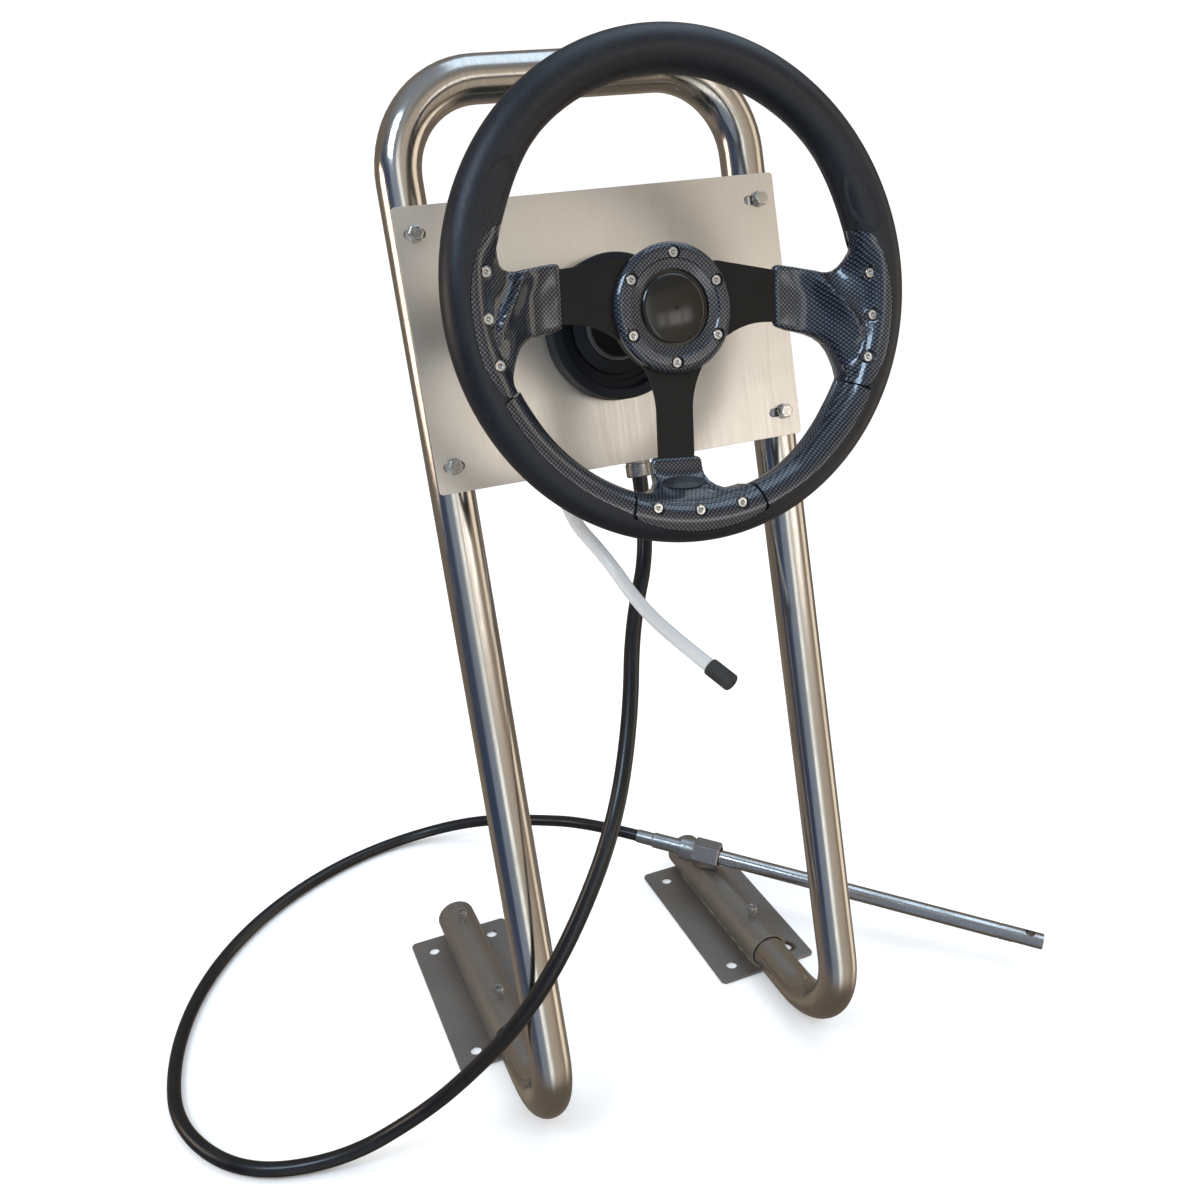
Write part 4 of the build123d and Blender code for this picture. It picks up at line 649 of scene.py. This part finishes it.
satin_black = worn_material(
    "satin_black_coat", (0.005, 0.005, 0.005), (0.010, 0.0095, 0.009), 0.0, (0.34, 0.46),
    (1100, 40), 0.00003, Specular_IOR_Level=0.18,
)
dress(satin_black, 0.0005, "wheel_frame", "hub_adapter")
dress(screw_steel, 0.0002, "hub_washer")
dress(screw_steel, 0.0004, "hub_nut")

# Rim grip: dense foam moulded on the rim's core under stitched-down black leather. It is full
# round at the top, swells inward to the side inserts, and has an oval thumb rest on each side.
# Its sizes and places are in millimetres and degrees, in the wheel's plane.
rim_line_r = 145.5
rim_section_r = 14.5
rim_height = 126.85
rim_offset = 8.2
trim_end = 15.0
trim_low = 27.5
bottom_half = 19.0
trim_back = 8.0
recess_depth = 3.0
end_slant = 0.35
back_turn = 180 + math.degrees(math.asin(trim_back / rim_section_r))
side_seam = (
    (-27.5, -5.0), (-27.2, -4.5), (-24, -1.4), (-18, 1.3), (-15, 1.2), (-2, 0.0), (5, -2.5), (9, -4.5),
    (11.5, -7.0), (13.5, -8.5), (15, -11.0),
)
arc_seam = ((bottom_half, 1.6), (24, 0.6), (90 - trim_low, -0.6))
bottom_seam = ((0, 7.2), (9, 6.4), (16, 4.6), (bottom_half, 3.4))
swell_reach = ((0, 5.0), (5, 4.8), (10, 4.2), (15, 3.3), (20, 2.2), (25, 1.0), (30, 0.3), (36, 0))
thumb_middles = (24.0, 156.0)
thumb_half_length = 8.8
thumb_turn = 122
thumb_half_width = 36
thumb_sink = 1.15


def from_bottom(theta):
    """Degrees round from the wheel's lowest point, the same on both sides."""
    turned = (theta + 90) % 360
    return min(turned, 360 - turned)


def beside_swell(from_level):
    """The share of the grip's swelling that goes on beside the side insert's top end."""
    share = np.clip((from_level - trim_end + 9) / 8.6, 0, 1)
    return share**2 * (3 - 2 * share)


def seam_edge(theta):
    """Where the trims' outer edge lies across the rim, in millimetres out from its middle line."""
    folded = from_bottom(theta)
    if folded < bottom_half:
        return float(np.interp(folded, *zip(*bottom_seam)))
    if folded < 90 - trim_low:
        return float(np.interp(folded, *zip(*arc_seam)))
    return float(np.interp(folded - 90, *zip(*side_seam)))


def thumb_depth(theta, phi):
    """Depth of the thumb rest's oval, crisp at its edge and flat inside."""
    depth = np.zeros_like(phi)
    for middle in thumb_middles:
        along = (theta - middle) / thumb_half_length
        span = np.sqrt(along**2 + ((phi - thumb_turn) / thumb_half_width) ** 2)
        depth += thumb_sink * np.clip((1 - span) / 0.16, 0, 1) ** 0.7
    return depth


def swell_in(theta, phi):
    """The rim's swelling towards the wheel's middle, next to the side inserts."""
    from_end = min(abs(theta - trim_end), abs(theta - (180 - trim_end)))
    reach = float(np.interp(from_end, *zip(*swell_reach)))
    towards = np.clip(-np.cos(np.radians(phi)), 0, 1) ** 1.4
    return reach * towards * np.clip((back_turn - phi) / 22, 0, 1)


def slanted_end(from_line):
    """Degrees by which the grip's end stands further round where it swells inward."""
    return end_slant * np.clip(-11 - from_line, 0, None)


outer_count = 76
inner_count = 60
rings = [(theta, False) for theta in np.arange(trim_end, 180 - trim_end + 0.01, 0.5)]
rings += [(theta, True) for theta in np.arange(180 - trim_end, 360 + trim_end + 0.01, 0.75)]
rim_places = []
for theta, recessed in rings:
    edge_turn = 90.0
    if recessed:
        edge_turn = math.degrees(math.acos(seam_edge(theta) / rim_section_r))
    outer_phi = np.linspace(back_turn - 360, edge_turn, outer_count)
    inner_phi = np.linspace(edge_turn, back_turn, inner_count)
    phi = np.concatenate((outer_phi, inner_phi))
    radius = np.full(len(phi), rim_section_r)
    if recessed:
        radius[outer_count:] -= recess_depth
        radius[:outer_count] += swell_in(trim_end, outer_phi) * beside_swell(from_bottom(theta) - 90)
    else:
        radius = radius - thumb_depth(theta, phi) + swell_in(theta, phi)
    from_line = radius * np.cos(np.radians(phi))
    from_middle = rim_line_r + from_line
    turned_by = np.full(len(phi), math.radians(theta))
    if not recessed:
        past_end = theta - trim_end if theta < 90 else 180 - trim_end - theta
        way = 1 if theta < 90 else -1
        turned_by += np.radians(slanted_end(from_line)) * max(0, 1 - past_end / 20) * way
    rim_places.append(np.stack((
        from_middle * np.cos(turned_by),
        rim_offset + from_middle * np.sin(turned_by),
        rim_height + radius * np.sin(np.radians(phi)),
    ), axis=1))
rim_faces = [
    (a, d, c, b) for a, b, c, d in ring_faces(len(rings), outer_count + inner_count, closed=True)
]
grip = make_object("leather_rim_grip", wheel_points(np.concatenate(rim_places)), rim_faces)
grip_weld = grip.modifiers.new("weld", "WELD")
grip_weld.merge_threshold = 0.00001
split_creases(grip, 42)
leather = worn_material(
    "black_rim_leather", (0.004, 0.0055, 0.009), (0.007, 0.009, 0.014), 0.0, (0.36, 0.48),
    (420, 16), 0.0, Specular_IOR_Level=0.42,
)
leather_tree = leather.node_tree
pebbles = leather_tree.nodes.new("ShaderNodeTexVoronoi")
pebbles.feature = "DISTANCE_TO_EDGE"
pebbles.inputs["Scale"].default_value = 900
leather_tree.links.new(
    leather_tree.nodes.new("ShaderNodeTexCoord").outputs["Object"], pebbles.inputs["Vector"]
)
pebble_height = add_range(leather_tree, pebbles.outputs["Distance"], 0.0, 0.35)
add_bump(leather_tree, leather_tree.nodes["Principled BSDF"], pebble_height, 0.4, 0.00012)
grip.data.materials.append(leather)
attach(grip, "wheel")
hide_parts("rim_grip")

# Lower arcs of trim: mouldings clipped into the rim's inner front side, printed with a small
# woven check under a clear gloss coat. Each has a crisp crease above a steep inner wall.
trim_lift = 0.12
wall_radius = 131 * mm
weave, weave_in, weave_out = new_group(
    "woven_check",
    (
        ("Dark Color", "NodeSocketColor", (0.01, 0.01, 0.01, 1)),
        ("Light Color", "NodeSocketColor", (0.3, 0.3, 0.3, 1)),
        ("Cell", "NodeSocketFloat", 0.00145),
    ),
    (("Color", "NodeSocketColor"), ("Metallic", "NodeSocketFloat"), ("Height", "NodeSocketFloat")),
)
weave_coordinates = weave.nodes.new("ShaderNodeTexCoord")


def check_wave(level):
    """A wave across the check's cells."""
    cells = add_math(weave, "DIVIDE", level, weave_in.outputs["Cell"])
    return add_math(weave, "SINE", add_math(weave, "MULTIPLY", cells, math.pi))


def pick(flat_level, wall_level):
    """The flat face's level where the surface faces out, else the wall's."""
    change = add_math(weave, "SUBTRACT", wall_level, flat_level)
    return add_math(weave, "MULTIPLY_ADD", change, on_wall, flat_level)


rim_middle = tuple(wheel_points([(0, rim_offset, 0)])[0])
from_middle = add_vector(weave, "SUBTRACT", weave_coordinates.outputs["Object"], rim_middle)
level_x = add_vector(weave, "DOT_PRODUCT", from_middle, tuple(wheel_across))
level_y = add_vector(weave, "DOT_PRODUCT", from_middle, tuple(wheel_up))
level_out = add_vector(weave, "DOT_PRODUCT", from_middle, tuple(out))
facing = add_vector(weave, "DOT_PRODUCT", weave_coordinates.outputs["Normal"], tuple(out))
facing = add_math(weave, "ABSOLUTE", facing)
on_wall = add_math(weave, "LESS_THAN", facing, 0.42)
round_level = add_math(weave, "MULTIPLY", add_math(weave, "ARCTAN2", level_y, level_x), wall_radius)
check = add_math(
    weave, "MULTIPLY", check_wave(pick(level_x, round_level)), check_wave(pick(level_y, level_out))
)
light_share = add_range(weave, check, 0.05, 0.5)
thread_noise = add_noise(weave, weave_coordinates.outputs["Object"], 700, 2.0)
thread_tone = add_range(weave, thread_noise, 0.3, 0.7, 0.55, 1.0)
light_share = add_math(weave, "MULTIPLY", light_share, thread_tone)
weave.links.new(
    add_mix(weave, light_share, weave_in.outputs["Dark Color"], weave_in.outputs["Light Color"]),
    weave_out.inputs["Color"],
)
weave.links.new(add_math(weave, "MULTIPLY", light_share, 0.8), weave_out.inputs["Metallic"])
weave.links.new(light_share, weave_out.inputs["Height"])
checked, checked_tree, checked_shader = make_material(
    "checked_gloss_trim", (0.02, 0.02, 0.03), 0.0, 0.34, Specular_IOR_Level=0.25, Coat_Weight=1.0,
    Coat_Roughness=0.08,
)
checked_use = checked_tree.nodes.new("ShaderNodeGroup")
checked_use.node_tree = weave
checked_use.inputs["Dark Color"].default_value = (0.002, 0.003, 0.007, 1)
checked_use.inputs["Light Color"].default_value = (0.135, 0.155, 0.19, 1)
checked_tree.links.new(checked_use.outputs["Color"], checked_shader.inputs["Base Color"])
checked_tree.links.new(checked_use.outputs["Metallic"], checked_shader.inputs["Metallic"])
add_bump(checked_tree, checked_shader, checked_use.outputs["Height"], 0.25, 0.00005)
crease_across = -13.3
crease_turn = math.degrees(math.acos(crease_across / rim_section_r))
seam_gap = 0.35
end_gap = 0.3
face_count = 22
arc_depth = 2.4
arc_flare = ((trim_low, 5.2), (36, 4.6), (50, 1.8), (60, 0))


def draw_arc(name, side):
    """The lower arc of trim of the right-hand side; side mirrors it."""
    angles = np.linspace(-90 + bottom_half + end_gap, -trim_low - end_gap, 90)
    places = []
    for theta in angles:
        edge_turn = math.degrees(math.acos(seam_edge(theta) / rim_section_r)) + 1.4
        turns = np.radians(np.linspace(edge_turn, crease_turn, face_count))
        lifted = rim_section_r + trim_lift
        inside = rim_section_r - arc_depth
        flare = float(np.interp(-theta, *zip(*arc_flare)))
        section = [(inside * math.cos(turns[0]), inside * math.sin(turns[0]))]
        section += [(lifted * math.cos(turn), lifted * math.sin(turn)) for turn in turns]
        section += [
            (-14.0 - 0.15 * flare, 4.4), (-14.35 - 0.45 * flare, 1.0), (-14.2 - 0.85 * flare, -4.0),
            (-13.3 - flare, -7.6), (-10.2, -7.6),
        ]
        for a, h in section:
            from_middle = rim_line_r + a
            places.append((
                side * from_middle * math.cos(math.radians(theta)),
                rim_offset + from_middle * math.sin(math.radians(theta)),
                rim_height + h,
            ))
    size = len(section)
    faces = ring_faces(len(angles), size)
    faces.append(tuple(range(size))[::-1])
    faces.append(tuple((len(angles) - 1) * size + corner for corner in range(size)))
    if side < 0:
        faces = [face[::-1] for face in faces]
    arc = make_object(f"{name}_moulding", wheel_points(places), faces)
    split_creases(arc, 28)
    arc.data.materials.append(checked)
    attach(arc, "wheel")
    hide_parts(name)


draw_arc("right_arc_trim", 1)
draw_arc("left_arc_trim", -1)

# Side and bottom inserts: hollow mouldings in the same finish, that cover the spokes' ends and
# sweep up on to the rim. Three button-head screws in pockets hold each one.
pocket_r = 4.4
pocket_depth = 2.4
rim_wall = 2.8
edge_round = 2.8
grid_step = 1.5
arm_start = 97.0
arm_slope = 0.5
arm_base = 103
rim_crest_height = 132.9
rim_shoulder_height = 137.4


def spread_heights(marks):
    """A surface through marked heights that keeps their crests: f(places) gives its height."""
    marks = np.array(marks, dtype=float)
    count = len(marks)
    apart = np.linalg.norm(marks[:, None, :2] - marks[None, :, :2], axis=2)
    flat = np.column_stack((np.ones(count), marks[:, :2]))
    system = np.zeros((count + 3, count + 3))
    system[:count, :count] = apart
    system[:count, count:] = flat
    system[count:, :count] = flat.T
    weights = np.linalg.solve(system, np.concatenate((marks[:, 2], np.zeros(3))))

    def height(places):
        reach = np.linalg.norm(places[:, None, :] - marks[None, :, :2], axis=2)
        plain = np.column_stack((np.ones(len(places)), places))
        return reach @ weights[:count] + plain @ weights[count:]

    return height


def rim_place(theta, a):
    """A place on the wheel's plane, from an angle and a distance out from the rim's line."""
    turned_by = math.radians(theta)
    return (
        (rim_line_r + a) * math.cos(turned_by),
        rim_offset + (rim_line_r + a) * math.sin(turned_by),
    )


def across_rim(places):
    """Millimetres out from the rim's middle line."""
    return np.hypot(places[:, 0], places[:, 1] - rim_offset) - rim_line_r


def rim_top(places):
    """The height of the trim's round face over the rim."""
    a = across_rim(places)
    return rim_height + np.sqrt(np.clip((rim_section_r + trim_lift) ** 2 - a**2, 0, None))


def leather_top(places):
    """The swollen leather's height where the side insert's top end meets it."""
    turns = np.linspace(20, 180, 81)
    radius = rim_section_r + 0.1 + swell_in(trim_end, turns)
    from_line = radius * np.cos(np.radians(turns))
    height = radius * np.sin(np.radians(turns))
    return rim_height + np.interp(across_rim(places), from_line[::-1], height[::-1])


def smooth_outline(corners, step):
    """Points a step apart along a closed outline."""
    points = []
    for start, end in zip(corners, corners[1:] + corners[:1]):
        length = math.dist(start, end)
        count = max(1, round(length / step))
        for part in range(count):
            share = part / count
            points.append(tuple(a + (b - a) * share for a, b in zip(start, end)))
    return points


def smooth_top(cover, plan, crest):
    """The rim's round face and the cover, averaged over rounds that shrink at crest and seam."""
    def rough_top(places):
        return np.where(across_rim(places) > crease_across, rim_top(places), cover(places))

    reach = np.clip(-3 - across_rim(plan), 0, None)
    for x, y in crest:
        reach = np.minimum(reach, np.hypot(plan[:, 0] - x, plan[:, 1] - y) - 0.6)
    reach = np.clip(0.75 * reach, 0.05, 4.0)
    total = rough_top(plan)
    for turn in np.arange(8) * math.pi / 4:
        step = reach[:, None] * np.array([math.cos(turn), math.sin(turn)])
        total = total + rough_top(plan + step) + rough_top(plan + step / 2)
    return total / 17


def plan_insert(outline, crest, span, screws):
    """Points and edges in the wheel's plane: outline, pockets, rows along the edge, creases, grid."""
    def clear_of_screws(point):
        return all(math.dist(point, screw) > pocket_r + 0.6 for screw in screws)

    loops = [outline]
    for x, y in screws:
        turns = [math.tau * part / 32 for part in range(32)]
        loops.append([(x + pocket_r * math.cos(turn), y + pocket_r * math.sin(turn)) for turn in turns])
    points = []
    edges = []
    for loop in loops:
        first = len(points)
        edges += [(first + part, first + (part + 1) % len(loop)) for part in range(len(loop))]
        points += loop
    ridges = []
    for before, (x, y), after in zip(outline[-1:] + outline[:-1], outline, outline[1:] + outline[:1]):
        run = (after[0] - before[0], after[1] - before[1])
        for depth in (0.4, 1.0, 1.9):
            for share in (-depth / math.hypot(*run), depth / math.hypot(*run)):
                point = (x - run[1] * share, y + run[0] * share)
                from_edge = min(math.dist(point, near) for near in outline)
                if from_edge > 0.85 * depth and clear_of_screws(point):
                    ridges.append(point)
    points += ridges
    creases = [
        [rim_place(theta, crease_across + apart) for theta in np.arange(span[0], span[1], 0.5)]
        for apart in (-1.6, -0.8, 0, 0.8, 1.6)
    ]
    for line in (*creases, crest):
        last = None
        for point in line:
            if min(math.dist(point, near) for near in outline) < 0.9 or not clear_of_screws(point):
                last = None
                continue
            points.append(point)
            if last is not None:
                edges.append((last, len(points) - 1))
            last = len(points) - 1
            ridges.append(point)
    xs, ys = zip(*outline)
    for x in np.arange(min(xs) + grid_step / 2, max(xs), grid_step):
        for y in np.arange(min(ys) + grid_step / 2, max(ys), grid_step):
            from_ridge = min(math.dist((x, y), near) for near in outline + ridges)
            if from_ridge > 0.7 and all(abs(math.dist((x, y), screw) - pocket_r) > 0.6 for screw in screws):
                points.append((x, y))
    return points, edges


def raise_insert(plan, outline, marks, crest, foot_height):
    """An insert's top heights, foot heights and foot places, over places in the wheel's plane."""
    a = across_rim(plan)
    top = smooth_top(spread_heights(marks), plan, crest)
    theta = np.degrees(np.arctan2(plan[:, 1] - rim_offset, plan[:, 0]))
    near_leather = beside_swell(theta) * np.clip((a + 27) / 4, 0, 1)
    top = top + (leather_top(plan) - top) * near_leather
    edge_near = np.min(np.linalg.norm(plan[:, None, :] - np.array(outline)[None], axis=2), axis=1)
    on_arm = np.clip((crease_across - 1.5 - a) / 3, 0, 1) * (1 - near_leather)
    rounding = np.clip(edge_round - edge_near, 0, edge_round)
    top = top - on_arm * (edge_round - np.sqrt(edge_round**2 - rounding**2)) * 0.9
    foot = np.minimum(foot_height(plan) + near_leather * 4, top - 1.2)
    outward = plan - np.array([0, rim_offset])
    outward /= np.linalg.norm(outward, axis=1)[:, None]
    foot_plan = plan + outward * (0.8 * near_leather**2 * np.clip(-14.5 - a, 0, None))[:, None]
    return top, foot, foot_plan


def draw_insert(name, corners, marks, crest, span, screws, foot_height, side=1):
    """A moulded insert: a surface over an outline, screw pockets, side walls and a back."""
    outline = smooth_outline(corners, 1.3)
    points, edges = plan_insert(outline, crest, span, screws)
    flat, _, flat_faces, _, _, _ = delaunay_2d_cdt(
        [Vector(point) for point in points], edges, [tuple(range(len(outline)))], 1, 0.0001
    )
    plan = np.array([tuple(point) for point in flat])
    top, foot, foot_plan = raise_insert(plan, outline, marks, crest, foot_height)
    in_pocket = []
    for face in flat_faces:
        middle = np.mean(plan[list(face)], axis=0)
        inside = [number for number, screw in enumerate(screws) if math.dist(middle, screw) < pocket_r]
        in_pocket.append(inside[0] if inside else None)
    places = [(side * x, y, h) for (x, y), h in zip(plan, top)]
    below = len(places)
    places += [(side * x, y, h) for (x, y), h in zip(foot_plan, foot)]
    faces = []
    edge_use = {}
    for face, number in zip(flat_faces, in_pocket):
        faces.append(tuple(below + corner for corner in face)[::-1])
        for corner, beside in zip(face, face[1:] + face[:1]):
            edge_use[(corner, beside)] = number
        if number is None:
            faces.append(tuple(face))
    pocket_floors = {}
    for number, (x, y) in enumerate(screws):
        from_line = rim_line_r - math.hypot(x, y - rim_offset)
        floor_height = rim_height + math.sqrt(rim_section_r**2 - from_line**2) - pocket_depth
        corner_map = {}
        for face, owner in zip(flat_faces, in_pocket):
            if owner != number:
                continue
            for corner in face:
                if corner not in corner_map:
                    corner_map[corner] = len(places)
                    places.append((side * plan[corner][0], plan[corner][1], floor_height))
            faces.append(tuple(corner_map[corner] for corner in face))
        pocket_floors[number] = corner_map
    for (corner, beside), number in edge_use.items():
        other = edge_use.get((beside, corner), "none")
        if other == "none":
            faces.append((beside, corner, below + corner, below + beside))
        elif number is None and other is not None:
            floor_map = pocket_floors[other]
            faces.append((beside, corner, floor_map[corner], floor_map[beside]))
    if side < 0:
        faces = [face[::-1] for face in faces]
    insert = make_object(f"{name}_moulding", wheel_points(places), faces)
    break_edges(insert, 0.0005, 2, 50, clamped=True)
    split_creases(insert, 38)
    insert.data.materials.append(checked)
    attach(insert, "wheel")
    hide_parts(name)


side_outline = [
    (76.0, 24.5), (76.0, -9.5), (76.8, -11.6), (79.0, -12.6), (84.7, -14.6), (92.0, -16.0), (98.7, -17.6),
    (104.0, -20.4), (108.7, -24.6), (112.0, -29.8), (114.4, -36.0), (116.0, -41.0),
]
side_outline += [
    rim_place(theta, a)
    for theta, a in ((-25.6, -15.4), (-27.3, -14.4), (-27.3, -9), (-27.1, -5.6), (-26, -3.4))
]
side_outline += [
    rim_place(theta, seam_edge(theta) - seam_gap)
    for theta in (-24, -21, -18, -15, -12, -9, -6, -3, 0, 3, 6, 9, 11.5, 13.5)
]
side_outline += [
    rim_place(trim_end - 0.2 + slanted_end(from_line), from_line) for from_line in (-11.2, -14, -17, -19.6)
]
side_outline += [
    (123.2, 34.0), (122.0, 29.4), (120.0, 25.6), (117.0, 23.2), (113.0, 22.2), (108.0, 22.2),
    (98.5, 24.4), (90.0, 26.4), (82.0, 27.9), (78.4, 28.2), (76.7, 27.0),
]
side_crest = [
    (82, 26.8, 109.0), (86, 25.8, 110.0), (90, 24.6, 111.2), (94, 23.2, 112.6), (98, 21.6, 114.4),
    (102, 19.8, 117.2), (105, 18.0, 119.6), (107.4, 15.6, 122.0), (109, 12.6, 124.0), (111.2, 8.8, 126.2),
    (113.6, 5.2, 128.3), (116, 1.8, 130.0), (118.4, -1.7, 131.5), (121, -6, 132.9), (123.6, -11, 133.9),
    (125.7, -15.9, 134.2), (127, -21, 134.0), (127.6, -27.8, 133.6), (127.4, -34, 132.9),
    (126.6, -39.7, 132.6), (124.6, -47, 131.8),
]
side_marks = side_crest + [
    (76, 24, 107.2), (76, 8, 107.6), (76, -9, 107.2), (79, 27.6, 108.2), (79, -12.4, 107.4),
    (82, 12, 107.9), (82, -2, 107.9), (88, 18, 108.8), (88, 4, 108.6), (88, -10, 108.3), (94, 14, 110.0),
    (94, 0, 109.9), (94, -12, 109.6), (100, 10, 112.2), (100, -2, 112.4), (100, -14, 112.2), (105, 6, 116.0),
    (105, -6, 116.4), (105, -17, 116.2), (110, -2, 120.8), (110, -12, 121.2), (110, -21, 120.8),
    (115, -10, 125.4), (115, -20, 125.8), (115, -31, 125.4), (120, -18, 128.8), (120, -29, 129.2),
    (120, -40, 128.6), (124, -28, 131), (123.4, -38, 130.9),
    (85, -14.6, 107.5), (92, -16, 108.8), (98.7, -17.6, 111.2), (104, -20.4, 115.0), (108.7, -24.6, 118.8),
    (112, -29.8, 121.6), (114.4, -36, 123.6), (116, -41, 125.0), (117.6, -46.6, 126.2),
    (110.5, 18.6, 115.6), (112.4, 13.4, 117.6), (115.2, 8.4, 120.2), (118.4, 3.6, 123.2),
    (121.8, -1.2, 126.2), (125.2, -6.4, 128.8), (128.2, -12.6, 130.8), (114.8, 20.0, 117.0),
    (118.2, 23.4, 118.4), (120.8, 28.4, 120.6), (122.7, 34, 122.6), (124.2, 39.6, 123.6),
    (117.6, 14.4, 120.8), (121.6, 9.6, 124.6), (125.6, 4.6, 128.2), (122.6, 19, 123.6),
    (125.2, 26, 127.2), (126.4, 33, 128.8), (127.4, 39, 129.8),
]


def rim_marks(low, high):
    """Marked heights along the crease and along the round face outside it."""
    rows = [(*rim_place(theta, crease_across), rim_crest_height) for theta in np.arange(low, high, 1.5)]
    rows += [(*rim_place(theta, -10.0), rim_shoulder_height) for theta in np.arange(low, high, 3)]
    return rows


def over_arm(plan, over):
    """An insert's underside: over the arm's own height inside the crease, else inside the rim."""
    return np.where(across_rim(plan) > crease_across, rim_top(plan) - rim_wall, arm_base + over)


def side_foot(plan):
    return over_arm(plan, arm_slope * np.clip(plan[:, 0] - arm_start, 0, None))


def bottom_foot(plan):
    return over_arm(plan, 0.85 * np.clip(-plan[:, 1] - 108, 0, None))


crest_steps = np.arange(0, len(side_crest) - 0.9, 0.25)
crest_rows = [np.interp(crest_steps, range(len(side_crest)), row) for row in zip(*side_crest)]
crest_line = [(float(x), float(y)) for x, y, _ in zip(*crest_rows)]
for side, name in ((1, "right_insert"), (-1, "left_insert")):
    draw_insert(
        name, side_outline, side_marks + rim_marks(-27, 15.1), crest_line, (-27, 14.6),
        ((133.0, 18.5), (133.5, -9.0), (128.5, -36.5)), side_foot, side,
    )

half_outline = [
    (0.0, -96.0), (14.6, -96.0), (17.2, -96.9), (18.2, -99.2), (18.3, -108.0), (19.2, -112.4),
    (21.6, -115.6), (26.0, -117.8), (33.0, -117.9),
]
half_outline += [
    rim_place(theta, a)
    for theta, a in ((-72.6, -14.4), (-71.3, -14.2), (-71.4, -9), (-71.4, -4), (-71.4, 0.5))
]
half_outline += [
    rim_place(theta, seam_edge(theta) - seam_gap) for theta in (-72.5, -75, -78, -81, -84, -87, -90)
]
bottom_outline = half_outline[::-1][:-1] + [(-x, y) for x, y in half_outline][:-1]
half_marks = [
    (0, -96, 107.6), (9, -96, 107.6), (17, -96.8, 107.0), (0, -101, 107.9), (9, -101, 107.9),
    (18, -101, 107.4), (0, -106, 108.6), (10, -106, 108.7), (18, -107, 108.6), (0, -109.6, 110.0),
    (9, -110.2, 110.8), (17.6, -110.5, 112.4), (0, -113.5, 114.2), (8, -113.5, 114.3),
    (14, -113.5, 114.6), (18.2, -113, 116.8), (0, -117.4, 118.4), (8, -117.2, 118.4),
    (14.5, -116.4, 118.8), (20, -116.6, 122.2), (0, -120, 123.6), (9, -119.8, 123.6),
    (17, -119.0, 124.4), (25, -119, 126.8), (33, -118.6, 127.6), (39, -117.5, 127.8),
]
bottom_marks = half_marks + [(-x, y, h) for x, y, h in half_marks if x > 0]
draw_insert(
    "bottom_insert", bottom_outline, bottom_marks + rim_marks(-109, -70.9), (), (-108.5, -71.5),
    ((-30.0, -127.5), (0.0, -130.5), (30.0, -127.5)), bottom_foot,
)
dress(screw_steel, 0.0007, "insert_screws", steps=3)

# Oval plate: a small, thin plate with broken edges and a gloss black lacquer. It is glued in the
# hollow of the bottom insert.
gloss_black = worn_material(
    "gloss_black_lacquer", (0.006, 0.006, 0.007), (0.009, 0.009, 0.010), 0.0, (0.22, 0.30),
    (40, 30), 0.0, Specular_IOR_Level=0.3, Coat_Weight=0.35, Coat_Roughness=0.06,
)
dress(gloss_black, 0.0005, "oval_plate")

# Hub ring: a turned moulding in the checked finish, held by six button-head screws, each in a
# pocket of its own
dress(checked, 0.0004, "hub_ring")
dress(screw_steel, 0.0007, "ring_screws", steps=3)

# Push button: a domed cap moulded in gloss black plastic. It sits loose in the hub ring on a
# spring and goes in when it is pressed.
button_gloss = worn_material(
    "push_button_gloss", (0.009, 0.008, 0.0065), (0.010, 0.009, 0.0075), 0.0, (0.20, 0.22),
    (12, 9), 0.0, Specular_IOR_Level=0.25, Coat_Weight=0.6, Coat_Roughness=0.03,
)
dress(button_gloss, 0, "centre_button")
